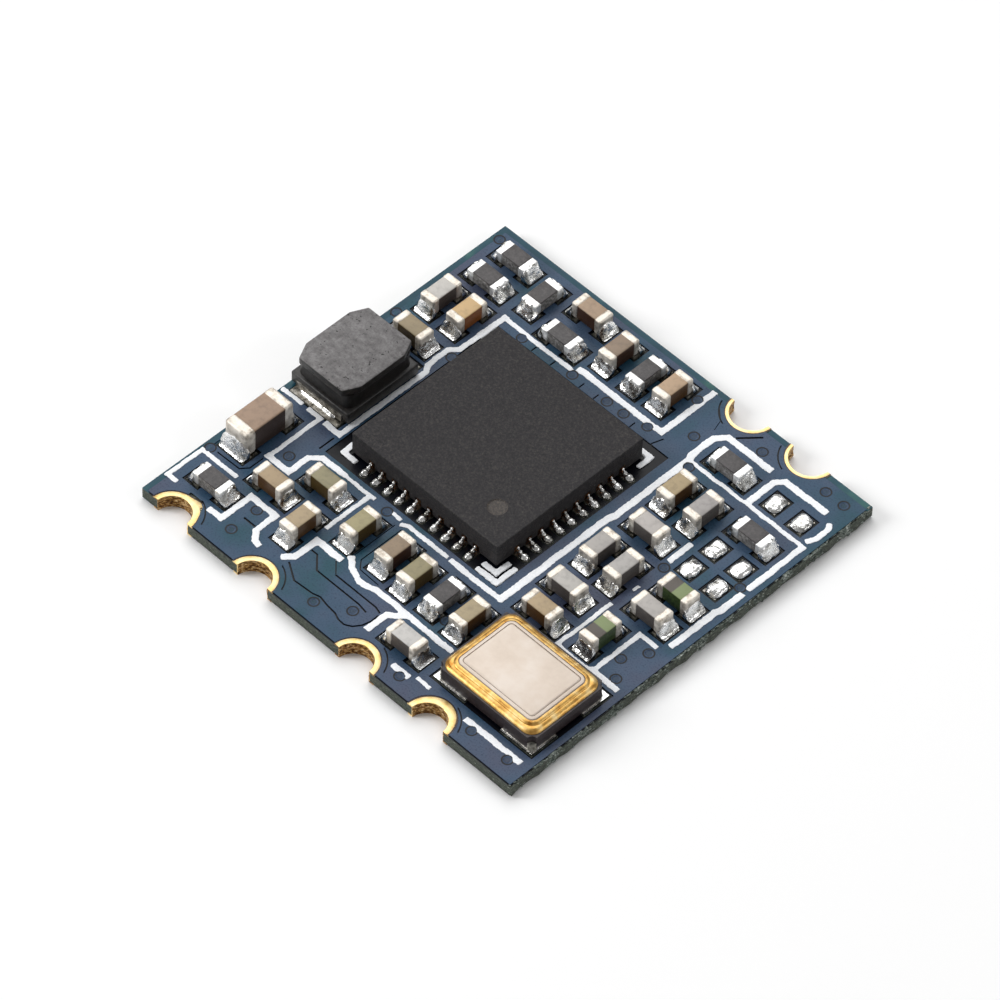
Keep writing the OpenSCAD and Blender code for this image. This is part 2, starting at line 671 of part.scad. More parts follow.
module chip_solder() {
    color([0.85, 0.86, 0.87]) {
        layer(land_z, solder_t) translate(chip_at) box_2d(ground_w, ground_w);
        at_leads() translate([0, 0, land_z]) intersection() {
            linear_extrude(lead_t) lead_land_2d(0);
            rotate([90, 0, -90]) translate([0, 0, -lead_w / 2]) linear_extrude(lead_w)
                solder_side_2d(-lead_l, 0, toe_l, lead_t * climb + solder_t);
        }
    }
}

// --- Crystal -----------------------------------------------------------------------------------

crystal_seat_z = seat_z + crystal_plate;
ring_z = crystal_seat_z + crystal_base_h;
cavity_w = crystal_w - 2 * crystal_wall;
cavity_d = crystal_d - 2 * crystal_wall;
ring_outer = [crystal_w - 2 * ring_step, crystal_d - 2 * ring_step];
lid_size = ring_outer - 2 * [lid_step, lid_step];
module crystal_outline_2d(notch) {
    difference() {
        box_2d(crystal_w, crystal_d);
        for (x = [-1, 1], y = [-1, 1]) translate([x * crystal_w / 2, y * crystal_d / 2])
            circle(notch);
    }
}
module crystal_base() {
    floor_z = crystal_seat_z + crystal_floor;
    color([0.24, 0.2, 0.2]) translate(crystal_at) {
        difference() {
            layer(crystal_seat_z, crystal_base_h) crystal_outline_2d(crystal_notch_r);
            layer(floor_z, crystal_base_h) box_2d(cavity_w, cavity_d);
        }
        layer(floor_z, ledge_h) translate([-cavity_w / 2, -cavity_d / 2])
            square([ledge_w, cavity_d]);
    }
}
// Underside lands that wrap up into the corner notches
module crystal_lands() {
    color([0.8, 0.8, 0.78]) translate(crystal_at) {
        layer(seat_z, crystal_plate) intersection() {
            crystal_outline_2d(crystal_notch_r - crystal_plate);
            crystal_lands_2d(0, 0);
        }
        layer(seat_z, crystal_plate + crystal_base_h / 2) intersection() {
            crystal_outline_2d(crystal_notch_r - crystal_plate);
            for (x = [-1, 1], y = [-1, 1]) translate([x * crystal_w / 2, y * crystal_d / 2])
                circle(crystal_notch_r);
        }
    }
}
module crystal_blank() {
    color([0.85, 0.9, 0.92, 0.6]) translate(crystal_at)
        layer(crystal_seat_z + crystal_floor + ledge_h, blank_t)
            translate([-cavity_w / 2 + blank_gap, -blank_d / 2]) square([blank_w, blank_d]);
}
module crystal_seal_ring() {
    inner = ring_outer - 2 * [ring_w, ring_w];
    color([0.93, 0.76, 0.4]) translate(crystal_at) difference() {
        union() {
            layer(ring_z, ring_h / 2) rounded_2d(ring_outer[0], ring_outer[1], ring_r);
            layer(ring_z, ring_h) rounded_2d(
                ring_outer[0] - lid_step, ring_outer[1] - lid_step, ring_r - lid_step / 2);
        }
        layer(ring_z - eps, ring_h + 2 * eps) box_2d(inner[0], inner[1]);
    }
}
module crystal_lid() {
    color([0.93, 0.87, 0.82]) translate(crystal_at) {
        layer(ring_z + ring_h, lid_t) rounded_2d(lid_size[0], lid_size[1], ring_r - lid_step / 2);
        layer(ring_z + ring_h, lid_t + lid_rise)
            rounded_2d(lid_size[0] - 2 * lid_brim, lid_size[1] - 2 * lid_brim, ring_r - lid_step / 2);
    }
}
module crystal_solder() {
    color([0.85, 0.86, 0.87]) layer(land_z, solder_t)
        translate(crystal_at) crystal_lands_2d(crystal_reach, 0);
}

// --- Power inductor ----------------------------------------------------------------------------

foot_z = seat_z + terminal_t;
drum_mid_z = foot_z + drum_foot_t;
drum_top_z = foot_z + drum_h - drum_top_t;
drum_top = [drum_w - 2 * drum_top_step, drum_d - 2 * terminal_t - 2 * drum_top_step];
module drum_core() {
    rim = drum_top - 2 * [drum_rim_w, drum_rim_w];
    cut = [drum_corner_w, drum_corner_d];
    color([0.5, 0.5, 0.49]) translate(drum_at) {
        layer(foot_z, drum_foot_t) rounded_2d(drum_w, drum_d - 2 * terminal_t, edge_r);
        layer(foot_z, drum_h - drum_top_t / 2) circle(drum_post_d / 2);
        layer(drum_top_z, drum_top_t - drum_rim_h) cut_corner_2d(drum_top, cut);
        layer(drum_top_z, drum_top_t) cut_corner_2d(rim, cut);
    }
}
module drum_winding() {
    color([0.75, 0.42, 0.25]) translate(drum_at)
        layer(drum_mid_z, drum_top_z - drum_mid_z) difference() {
            circle(winding_d / 2);
            circle(drum_post_d / 2);
        }
}
module drum_resin() {
    color([0.12, 0.12, 0.12]) translate(drum_at)
        layer(drum_mid_z, drum_top_z - drum_mid_z) difference() {
            rounded_2d(
                drum_w - 2 * resin_step, drum_d - 2 * terminal_t - 2 * resin_step, resin_r);
            circle(winding_d / 2);
        }
}
module drum_terminals() {
    color([0.8, 0.81, 0.8]) translate(drum_at) for (turn = [0, 180]) rotate(turn) {
        translate([-terminal_w / 2, drum_d / 2 - terminal_l, seat_z])
            cube([terminal_w, terminal_l, terminal_t]);
        translate([-terminal_w / 2, drum_d / 2 - terminal_t, seat_z])
            cube([terminal_w, terminal_t, terminal_t + terminal_up]);
    }
}

// --- Small chip parts --------------------------------------------------------------------------

// A fired ceramic body along X with a plated metal end at each side, standing on z = 0
module end_profile(w, h, r, inset, length) {
    rotate([90, 0, 90]) translate([0, 0, -length / 2]) linear_extrude(length)
        translate([0, h / 2]) rounded_2d(w - 2 * inset, h - 2 * inset, r);
}
module chip_part(l, w, h, end, r) {
    end_profile(w, h, r, end_step, l - end);
    for (s = [-1, 1]) translate([s * (l - end) / 2, 0, 0]) end_profile(w, h, r, 0, end);
}
module capacitor(i) {
    p = capacitor_places[i - 1];
    color(p[3]) translate([0, 0, seat_z]) at(p)
        chip_part(case_l, case_w, capacitor_h, end_l, edge_r);
}
module resistor(i) {
    color([0.16, 0.15, 0.15]) translate([0, 0, seat_z]) at(resistor_places[i - 1]) {
        chip_part(case_l, case_w, resistor_h, end_l, resistor_edge_r);
        layer(resistor_h / 2, resistor_h / 2 + glaze_t) box_2d(case_l - 2 * end_l, case_w - glaze_in);
    }
}
module chip_inductor(i) {
    color([0.45, 0.5, 0.32]) translate([0, 0, seat_z]) at(bead_places[i - 1])
        chip_part(case_l, case_w, bead_h, end_l, resistor_edge_r);
}
module bulk_capacitor() {
    color(brown) translate([0, 0, seat_z]) at(concat(bulk_at, 90))
        chip_part(bulk_l, bulk_w, bulk_h, bulk_end_l, bulk_edge_r);
}

// --- Solder ------------------------------------------------------------------------------------

toe_t = 0.012;
// Side view of a joint: a film from `inner` to the part's end at `end`, then a hollow fillet
// that falls from `rise` at the end to a thin toe at the land's edge, `run` further out
module solder_side_2d(inner, end, run, rise) {
    steps = 5;
    curve = [for (i = [0 : steps]) let (t = i / steps)
        [end + run * t, toe_t + (rise - toe_t) * pow(1 - t, 2)]];
    polygon(concat(
        [[end, solder_t], [inner, solder_t], [inner, 0], [end + run, 0]],
        [for (i = [steps : -1 : 0]) curve[i]]
    ));
}
module pair_solder(l, w, h, end) {
    for (s = [0, 180]) rotate(s) translate([0, w / 2 + land_side, land_z]) rotate([90, 0, 0])
        linear_extrude(w + 2 * land_side)
            solder_side_2d(l / 2 - end, l / 2, heel_l, h * climb + solder_t);
}
module small_part_solder() {
    color([0.85, 0.86, 0.87]) {
        for (p = capacitor_places) at(p) pair_solder(case_l, case_w, capacitor_h, end_l);
        for (p = resistor_places) at(p) pair_solder(case_l, case_w, resistor_h, end_l);
        for (p = bead_places) at(p) pair_solder(case_l, case_w, bead_h, end_l);
        at(concat(bulk_at, 90)) pair_solder(bulk_l, bulk_w, bulk_h, bulk_end_l);
        at(concat(drum_at, 90)) pair_solder(drum_d, terminal_w, terminal_up, terminal_l);
    }
}
// A dome over an empty land: the cap of a sphere, trimmed by the land's four sides
module bare_land_solder() {
    reach = norm([bare_land_l, bare_land_w]) / 2;
    drop = dome_h - dome_rim;
    ball_r = (reach * reach + drop * drop) / (2 * drop);
    color([0.85, 0.86, 0.87]) intersection() {
        layer(land_z, dome_h + eps) bare_lands(0);
        for (p = bare_places) at(p) for (s = [-1, 1])
            translate([s * bare_pitch / 2, 0, land_z + dome_h - ball_r]) sphere(ball_r);
    }
}

board_core();
top_copper();
bottom_copper();
top_mask();
bottom_mask();
top_legend();
edge_contacts();
via_barrels();
chip_moulding();
chip_leads();
chip_ground_pad();
chip_die();
crystal_base();
crystal_lands();
crystal_blank();
crystal_seal_ring();
crystal_lid();
drum_core();
drum_winding();
drum_resin();
drum_terminals();
bulk_capacitor();
for (i = [1 : CAPACITORS])
    capacitor(i);
for (i = [1 : RESISTORS])
    resistor(i);
for (i = [1 : BEADS])
    chip_inductor(i);
small_part_solder();
chip_solder();
crystal_solder();
bare_land_solder();
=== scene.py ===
# %% [markdown]
# # Dressing a small radio module
# The solid model of the module comes from elsewhere and is loaded here as a fixed frame, in metres.
# This lesson gives it its looks: first the camera and lights, then one finish at a time, then one
# piece at a time. Each piece is drawn in millimetres with mesh operators and shrunk to metres at the
# end, because Blender's mesh tools lose precision on shapes a few hundredths of a millimetre long.

import json
import math

import bmesh
import bpy
from mathutils import Matrix, Vector, noise


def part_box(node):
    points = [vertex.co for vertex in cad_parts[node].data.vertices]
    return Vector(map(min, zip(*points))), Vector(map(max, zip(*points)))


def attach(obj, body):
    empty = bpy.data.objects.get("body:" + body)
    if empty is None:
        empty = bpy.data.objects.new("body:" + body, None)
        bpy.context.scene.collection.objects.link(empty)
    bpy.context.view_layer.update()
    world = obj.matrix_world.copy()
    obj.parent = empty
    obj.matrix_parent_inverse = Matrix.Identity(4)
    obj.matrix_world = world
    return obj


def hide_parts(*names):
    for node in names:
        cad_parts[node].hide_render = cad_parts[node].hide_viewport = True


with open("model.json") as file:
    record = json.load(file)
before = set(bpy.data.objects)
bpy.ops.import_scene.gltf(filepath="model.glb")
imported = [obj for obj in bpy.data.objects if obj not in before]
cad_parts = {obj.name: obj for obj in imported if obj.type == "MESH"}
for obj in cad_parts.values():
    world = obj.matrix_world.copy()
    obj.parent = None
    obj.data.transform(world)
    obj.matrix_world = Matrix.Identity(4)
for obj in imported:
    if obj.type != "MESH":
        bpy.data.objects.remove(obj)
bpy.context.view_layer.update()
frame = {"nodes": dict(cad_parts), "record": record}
MM = 0.001


def add_object(name, data):
    """Makes an object from a camera, lamp or mesh and puts it in the scene."""
    made = bpy.data.objects.new(name, data)
    bpy.context.scene.collection.objects.link(made)
    return made


print(len(frame["nodes"]), "solids loaded")

# %% [markdown]
# ## The camera
# A product this small is shot from a hand's breadth away with a long lens, so its parallel edges
# stay almost parallel. We look down at it from the front right corner. The three directions of the
# view are written as the columns of the camera's matrix: right, up and back.

# %% Place the camera
AZIMUTH = math.radians(43.5)
ELEVATION = math.radians(50.05)
ROLL = math.radians(2.24)
DISTANCE = 177.5
LENS = 263.8
AIM = Vector((-0.09, -0.2, 0.38))

view_back = Vector((
    math.sin(AZIMUTH) * math.cos(ELEVATION),
    -math.cos(AZIMUTH) * math.cos(ELEVATION),
    math.sin(ELEVATION),
))
level_right = Vector((math.cos(AZIMUTH), math.sin(AZIMUTH), 0))
level_up = view_back.cross(level_right)
view_right = math.cos(ROLL) * level_right + math.sin(ROLL) * level_up
view_up = view_back.cross(view_right)

camera = add_object("camera", bpy.data.cameras.new("camera"))
camera.data.lens = LENS
camera.data.sensor_width = 36
camera.data.clip_start = 0.01
camera.data.clip_end = 10
turn = Matrix((view_right, view_up, view_back)).transposed().to_4x4()
camera.matrix_world = Matrix.Translation((AIM + view_back * DISTANCE) * MM) @ turn
bpy.context.scene.camera = camera
print("camera at", [round(x, 4) for x in camera.location])

# %% [markdown]
# ## Lights
# Bright metal looks bright only where it mirrors a lamp. A flat face seen from here mirrors the sky
# behind the module, so a very large soft lamp hangs there. A smaller one at the left front lights the
# faces that look that way, and a weak one at the right rear gives the other slopes a glint. Mirror
# rays that miss the lamps find a dark grey world, which gives solder its contrast. The camera itself
# sees the world as white.

# %% Light the studio
def add_lamp(name, direction, distance, size, watts):
    """A square area lamp, in millimetres, that faces the module from a direction."""
    lamp = add_object(name, bpy.data.lights.new(name, "AREA"))
    lamp.data.size = size * MM
    lamp.data.energy = watts
    lamp.location = Vector(direction).normalized() * distance * MM
    lamp.rotation_euler = Vector(direction).to_track_quat("Z", "Y").to_euler()
    return lamp


add_lamp("sky", (-0.44, 0.36, 0.82), 340, 330, 0.78)
add_lamp("left_front", (-0.62, -0.58, 0.52), 260, 110, 0.34)
add_lamp("right_rear", (0.72, 0.4, 0.5), 300, 90, 0.1)

world = bpy.data.worlds.new("studio")
world.use_nodes = True
bpy.context.scene.world = world
bpy.context.scene.view_settings.view_transform = "Standard"
WORLD_FILL = 0.3
background = world.node_tree.nodes["Background"]
background.inputs["Color"].default_value = (1, 1, 1, 1)
seen = world.node_tree.nodes.new("ShaderNodeLightPath")
level = world.node_tree.nodes.new("ShaderNodeMapRange")
level.inputs["To Min"].default_value = WORLD_FILL
level.inputs["To Max"].default_value = 1.0
world.node_tree.links.new(seen.outputs["Is Camera Ray"], level.inputs["Value"])
world.node_tree.links.new(level.outputs["Result"], background.inputs["Strength"])
print("three lamps and a white world")

# %% [markdown]
# ## A small kit for finishes
# A finish is a material made of nodes. Every pattern here reads Object coordinates, so it stays put
# on its piece and has a real size. These helpers add one node each and return its output, so that a
# finish reads like a recipe: take a grain, colour it, and press it into the surface.

# %% Helpers for finishes
def shade(red, green, blue):
    """A colour as a screen shows it, 0 to 255, turned into the linear light that nodes use."""
    def linear(value):
        value /= 255
        return value / 12.92 if value <= 0.04045 else ((value + 0.055) / 1.055) ** 2.4
    return (linear(red), linear(green), linear(blue), 1)


def new_finish(name, colour, metal=0.0, gloss=0.5, specular=0.5):
    made = bpy.data.materials.new(name)
    made.use_nodes = True
    shader = made.node_tree.nodes["Principled BSDF"]
    shader.inputs["Base Color"].default_value = colour
    shader.inputs["Metallic"].default_value = metal
    shader.inputs["Roughness"].default_value = gloss
    shader.inputs["Specular IOR Level"].default_value = specular
    return made


def add_node(finish, kind, inputs, **settings):
    """Adds a node, sets it up, and feeds each input from a number, a colour or another output."""
    made = finish.node_tree.nodes.new("ShaderNode" + kind)
    for key, value in settings.items():
        setattr(made, key, value)
    for key, value in inputs.items():
        if isinstance(value, bpy.types.NodeSocket):
            finish.node_tree.links.new(value, made.inputs[key])
        else:
            made.inputs[key].default_value = value
    return made


def place_on(finish, stretch=(1, 1, 1)):
    """Object coordinates in millimetres, stretched along the axes if a pattern runs one way."""
    raw = add_node(finish, "TexCoord", {}).outputs["Object"]
    scale = [s / MM for s in stretch]
    return add_node(finish, "Mapping", {"Vector": raw, "Scale": scale}).outputs[0]


def grain(finish, size, stretch=(1, 1, 1), detail=3, rough=0.6):
    """A cloudy pattern whose blobs are about `size` millimetres across."""
    spot = place_on(finish, stretch)
    inputs = {"Vector": spot, "Scale": 1 / size, "Detail": detail, "Roughness": rough}
    return add_node(finish, "TexNoise", inputs).outputs[0]


def height(finish):
    """How high a point is above the ground, in millimetres."""
    return add_node(finish, "SeparateXYZ", {0: place_on(finish)}).outputs["Z"]


def ramp(finish, value, low, high, *stops):
    """Colours laid out between two values of a pattern; each stop is (position 0..1, colour)."""
    share = add_node(finish, "MapRange", {"Value": value, "From Min": low, "From Max": high})
    made = add_node(finish, "ValToRGB", {0: share.outputs[0]})
    steps = made.color_ramp.elements
    while len(steps) < len(stops):
        steps.new(0.5)
    for step, (position, colour) in zip(steps, stops):
        step.position = position
        step.color = colour
    return made.outputs[0]


def span(finish, value, low, high, first, last):
    """A pattern's values from low to high, spread over first to last."""
    inputs = {"Value": value, "From Min": low, "From Max": high, "To Min": first, "To Max": last}
    return add_node(finish, "MapRange", inputs).outputs[0]


def mixed(finish, share, first, second, how="MIX"):
    made = add_node(finish, "Mix", {}, data_type="RGBA", blend_type=how)
    for key, value in ((0, share), (6, first), (7, second)):
        if isinstance(value, bpy.types.NodeSocket):
            finish.node_tree.links.new(value, made.inputs[key])
        else:
            made.inputs[key].default_value = value
    return made.outputs[2]


def paint(finish, colour=None, gloss=None, metal=None):
    """Feeds patterns into the shader."""
    shader = finish.node_tree.nodes["Principled BSDF"]
    for name, value in (("Base Color", colour), ("Roughness", gloss), ("Metallic", metal)):
        if value is not None:
            finish.node_tree.links.new(value, shader.inputs[name])


def press(finish, *layers):
    """Presses patterns into the surface; each layer is (pattern, depth in millimetres)."""
    shader = finish.node_tree.nodes["Principled BSDF"]
    below = None
    for pattern, depth in layers:
        inputs = {"Height": pattern, "Distance": depth * MM}
        if below is not None:
            inputs["Normal"] = below
        below = add_node(finish, "Bump", inputs).outputs[0]
    finish.node_tree.links.new(below, shader.inputs["Normal"])


print("finish helpers ready")

# %% [markdown]
# ## Solder mask
# The board's blue skin is a lacquer about as thick as a quarter of a hair. Over copper it looks slate
# blue, with teal and violet clouds where its thickness changes. In the gaps between copper areas it
# lies lower, over dark laminate, and is painted almost black: partly the laminate's own dark and partly
# painted shade for the shadow that falls between the parts. The colour can therefore follow the height
# of the surface, which is exact everywhere. Only the bare margin of the board is teal, so a second
# mask, the distance from the board's middle, keeps that colour at the edges.

# %% Solder mask
MASK_HIGH = 0.4
MASK_LOW = 0.37
HALF_W, HALF_D = 6.35, 6.2


def near_edge(finish, width):
    """1 within `width` millimetres of the left and rear edges, 0 further in."""
    axes = add_node(finish, "SeparateXYZ", {0: place_on(finish)})
    left = span(finish, axes.outputs["X"], -HALF_W + width, -HALF_W + width + 0.03, 1, 0)
    rear = span(finish, axes.outputs["Y"], HALF_D - width - 0.03, HALF_D - width, 0, 1)
    return add_node(finish, "Math", {0: left, 1: rear}, operation="MAXIMUM").outputs[0]


def make_mask():
    finish = new_finish("solder_mask", shade(66, 82, 102), gloss=0.26, specular=0.17)
    cloud = grain(finish, 2.4, detail=3)
    plateau = ramp(finish, cloud, 0.32, 0.68,
                   (0.0, shade(30, 74, 88)), (0.35, shade(52, 78, 102)), (0.65, shade(64, 82, 106)),
                   (1.0, shade(70, 78, 100)))
    speck = ramp(finish, grain(finish, 0.05, detail=4), 0.25, 0.75,
                 (0.0, shade(190, 190, 196)), (0.5, shade(255, 255, 255)), (1.0, shade(255, 255, 255)))
    plateau = mixed(finish, 1.0, plateau, speck, "MULTIPLY")
    margin = ramp(finish, grain(finish, 1.1, detail=3), 0.3, 0.7,
                  (0.0, shade(24, 62, 78)), (0.6, shade(34, 74, 88)), (1.0, shade(52, 100, 96)))
    # The near-black low colour is partly the dark laminate under the mask and partly painted shade between
    # the parts; the teal margin is the mask's own colour.
    low = mixed(finish, near_edge(finish, 0.22), shade(6, 8, 16), margin)
    is_high = span(finish, height(finish), MASK_LOW + 0.004, MASK_HIGH - 0.001, 0, 1)
    paint(finish, colour=mixed(finish, is_high, low, plateau))
    press(finish, (grain(finish, 0.35, detail=1), 0.006), (grain(finish, 0.06, detail=3), 0.002))
    return finish


mask = make_mask()
print("finish:", mask.name)

# %% [markdown]
# ## Laminate
# The board's core is woven glass in resin. A saw leaves it dark and closed; snapped off, it is pale
# and full of torn threads.

# %% Laminate
def make_fibreglass():
    finish = new_finish("fibreglass", shade(70, 76, 68), gloss=0.7, specular=0.3)
    weave = grain(finish, 0.1, stretch=(1, 1, 3), detail=6, rough=0.75)
    tone = ramp(finish, weave, 0.32, 0.7,
                (0.0, shade(30, 36, 32)), (0.45, shade(66, 72, 64)), (0.75, shade(96, 102, 90)),
                (1.0, shade(214, 220, 208)))
    paint(finish, colour=tone)
    press(finish, (weave, 0.02))
    return finish


fibreglass = make_fibreglass()
print("finish:", fibreglass.name)

# %% [markdown]
# ## Metals
# Solder is the brightest thing on a board. It freezes with fine ripples, so one smooth value of
# roughness would look like plastic: a fine grain bends its reflections. Plated ends are the same tin,
# fired thin over a rough ceramic, so they are duller and warmer. Gold covers the contacts.

# %% Metal finishes
def make_metal(name, tones, gloss, ripple, depth, metal=1.0):
    """A metal with cloudy tones from dark to light and ripples of a given size and depth."""
    finish = new_finish(name, tones[1], metal=metal, gloss=gloss)
    cloud = grain(finish, ripple * 2, detail=4)
    stops = [(i / (len(tones) - 1), tone) for i, tone in enumerate(tones)]
    paint(finish, colour=ramp(finish, cloud, 0.32, 0.68, *stops),
          gloss=span(finish, cloud, 0.3, 0.7, gloss * 0.7, gloss * 1.4))
    press(finish, (grain(finish, ripple, detail=3), depth))
    return finish


solder = make_metal("solder", [shade(150, 148, 142), shade(238, 238, 236), shade(255, 255, 255)],
                    0.2, 0.15, 0.03)
plated_end = make_metal("plated_end", [shade(160, 150, 136), shade(222, 214, 202), shade(244, 238, 228)],
                        0.42, 0.1, 0.014, metal=0.6)
silver_end = make_metal("silver_end", [shade(206, 206, 204), shade(238, 238, 236), shade(250, 250, 250)],
                        0.36, 0.08, 0.01, metal=0.6)
gold = make_metal("gold", [shade(226, 190, 118), shade(246, 216, 152), shade(255, 234, 186)],
                  0.4, 0.12, 0.004, metal=0.85)
lid_gold = make_metal("lid_gold", [shade(176, 122, 52), shade(222, 178, 100), shade(246, 218, 158)],
                      0.36, 0.16, 0.008, metal=0.8)
lid_metal = make_metal("lid_metal", [shade(206, 190, 174), shade(222, 207, 192), shade(234, 222, 210)],
                       0.5, 0.5, 0.002, metal=0.1)
tinned = make_metal("tinned", [shade(84, 80, 74), shade(150, 146, 138), shade(206, 202, 194)],
                    0.35, 0.07, 0.02)
lead_metal = make_metal("lead_metal", [shade(70, 38, 18), shade(140, 92, 56), shade(196, 150, 108)],
                        0.4, 0.07, 0.01)
bare_copper = make_metal("bare_copper", [shade(120, 70, 40), shade(184, 122, 84), shade(214, 160, 120)],
                         0.4, 0.1, 0.01)
print("nine metals")

# %% [markdown]
# The inside of a half hole is not polished. A drill tore it, and copper and gold were plated over the
# tears. Its colour runs from dark brown in the hollows to gold on the ridges. A dark brown line of
# lacquer follows the ring's outside.

# %% The torn barrel and its outline
def make_barrel():
    finish = new_finish("torn_barrel", shade(150, 105, 50), metal=0.7, gloss=0.4)
    tear = grain(finish, 0.1, stretch=(1, 1, 2.2), detail=5, rough=0.7)
    paint(finish, colour=ramp(finish, tear, 0.36, 0.64,
                              (0.0, shade(54, 30, 8)), (0.4, shade(132, 88, 34)),
                              (0.7, shade(214, 170, 104)), (1.0, shade(255, 236, 190))))
    press(finish, (tear, 0.06))
    return finish


barrel = make_barrel()
outline = new_finish("lacquer_line", shade(46, 22, 18), gloss=0.3)
paint(outline, colour=ramp(outline, grain(outline, 0.3), 0.3, 0.7,
                           (0.0, shade(30, 14, 16)), (1.0, shade(66, 30, 20))))
print("finishes:", barrel.name, outline.name)

# %% [markdown]
# ## Ceramics, resin and ink
# Chip capacitors are tiny blocks of fired ceramic. Their colour depends on the powder, so no two
# kinds match: their tops are tan, olive, brown or grey. Their sides are darker, partly their own tone,
# where the cut layers show as fine lines, and partly painted shade, since the light falls from above.
# Object normals tell the top from the sides.

# %% Ceramic finish
def tops_and_shaded_sides(finish, low, high, shaded_sides, tops):
    """One colour where the piece faces sideways and another where it faces up; the sideways one carries
    painted shade.
    """
    facing = add_node(finish, "TexCoord", {}).outputs["Normal"]
    up = add_node(finish, "SeparateXYZ", {0: facing}).outputs["Z"]
    return mixed(finish, span(finish, up, low, high, 0, 1), shaded_sides, tops)


def make_ceramic(name, top, side):
    finish = new_finish(name, top, gloss=0.42, specular=0.45)
    layers = grain(finish, 0.09, stretch=(0.6, 0.6, 6), detail=3)
    dark = [c * 0.45 for c in side[:3]] + [1]
    shaded_sides = ramp(finish, layers, 0.3, 0.7, (0.0, dark), (0.6, side), (1.0, side))
    cloud = grain(finish, 0.16, detail=4)
    dull = [c * 0.8 for c in top[:3]] + [1]
    tops = ramp(finish, cloud, 0.3, 0.7, (0.0, dull), (0.6, top), (1.0, top))
    paint(finish, colour=tops_and_shaded_sides(finish, 0.35, 0.85, shaded_sides, tops))
    press(finish, (cloud, 0.008), (layers, 0.004))
    return finish


print("ceramic finish ready")

# %% Resin, glaze, ferrite and ink
def make_grainy(name, tones, size, gloss, depth, specular=0.5):
    """A matt, evenly grainy material such as resin, ferrite or ink."""
    finish = new_finish(name, tones[1], gloss=gloss, specular=specular)
    fine = grain(finish, size, detail=5, rough=0.7)
    stops = [(i / (len(tones) - 1), tone) for i, tone in enumerate(tones)]
    paint(finish, colour=ramp(finish, fine, 0.3, 0.72, *stops))
    press(finish, (fine, depth))
    return finish


moulding = make_grainy("chip_moulding", [shade(28, 26, 28), shade(44, 42, 44), shade(76, 72, 68)],
                       0.055, 0.6, 0.03, specular=0.35)
dimple_floor = make_grainy("dimple_floor", [shade(40, 36, 34), shade(66, 60, 56), shade(104, 94, 82)],
                           0.05, 0.55, 0.02)
glaze = make_grainy("resistor_glaze", [shade(40, 36, 37), shade(58, 54, 54), shade(80, 74, 74)],
                    0.09, 0.36, 0.01)
alumina = make_grainy("alumina", [shade(58, 56, 54), shade(112, 110, 108), shade(176, 174, 172)],
                      0.08, 0.5, 0.008)
ferrite = make_grainy("ferrite", [shade(92, 91, 90), shade(124, 122, 121), shade(150, 148, 147)],
                      0.2, 0.6, 0.02, specular=0.4)
# The dark ferrite is partly the foot's black coat and partly painted shade on the sides of the plate and
# foot.
ferrite_coat_and_shade = make_grainy("ferrite_coat_and_shade", [shade(18, 18, 18), shade(32, 30, 29), shade(58, 54, 50)],
                           0.1, 0.4, 0.01)
resin = make_grainy("black_resin", [shade(12, 11, 11), shade(22, 20, 19), shade(40, 36, 34)],
                    0.3, 0.45, 0.02)
dark_ceramic = make_grainy("crystal_ceramic", [shade(26, 19, 20), shade(42, 33, 34), shade(66, 54, 54)],
                           0.09, 0.45, 0.01)
ink = make_grainy("legend_ink", [shade(232, 236, 242), shade(250, 252, 255), shade(255, 255, 255)],
                  0.06, 0.5, 0.006, specular=0.4)
silicon = make_grainy("silicon", [shade(70, 72, 84), shade(96, 98, 110), shade(120, 122, 134)],
                      0.3, 0.25, 0.001)
quartz = make_grainy("quartz", [shade(200, 214, 220), shade(216, 228, 232), shade(230, 240, 244)],
                     0.4, 0.1, 0.001)
print("eleven grainy finishes")

# %% [markdown]
# Pressed ferrite isn't even. Small dark pits and broad smears lie over its grain. So its face gets a
# new coat of colour, darkened by two more patterns; the grain pressed into it stays.

# %% Pits and smears in the ferrite
pits = ramp(ferrite, grain(ferrite, 0.09, detail=2), 0.2, 0.8,
            (0.0, shade(40, 38, 38)), (0.16, shade(120, 118, 116)), (0.24, shade(255, 255, 255)),
            (1.0, shade(255, 255, 255)))
smears = ramp(ferrite, grain(ferrite, 0.5, stretch=(1, 2.4, 1), detail=5), 0.3, 0.7,
              (0.0, shade(206, 204, 204)), (1.0, shade(255, 255, 255)))
fine = grain(ferrite, 0.12, detail=6, rough=0.8)
base = ramp(ferrite, fine, 0.28, 0.72, (0.0, shade(84, 82, 82)), (0.5, shade(122, 120, 120)),
            (1.0, shade(150, 148, 148)))
paint(ferrite, colour=mixed(ferrite, 1.0, mixed(ferrite, 1.0, base, pits, "MULTIPLY"), smears, "MULTIPLY"))
print("ferrite has pits and smears")

# %% [markdown]
# ## Helpers for pieces
# A piece starts as a bmesh in millimetres. Most of the parts on a board are blocks with soft edges,
# so one helper adds such a block, and another turns the finished bmesh into an object in metres that
# rides on the board and, where it should, stands for a plain solid of the frame.

# %% Helpers for pieces
SHRINK = Matrix.Scale(MM, 4)


def box_of(node):
    """Centre and size of one of the frame's solids, in millimetres."""
    low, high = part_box(node)
    return (low + high) / 2 / MM, (high - low) / MM


def fresh_faces(bm, before):
    return [face for face in bm.faces if face not in before]


def top_face(faces):
    return max(faces, key=lambda face: face.calc_center_median().z)


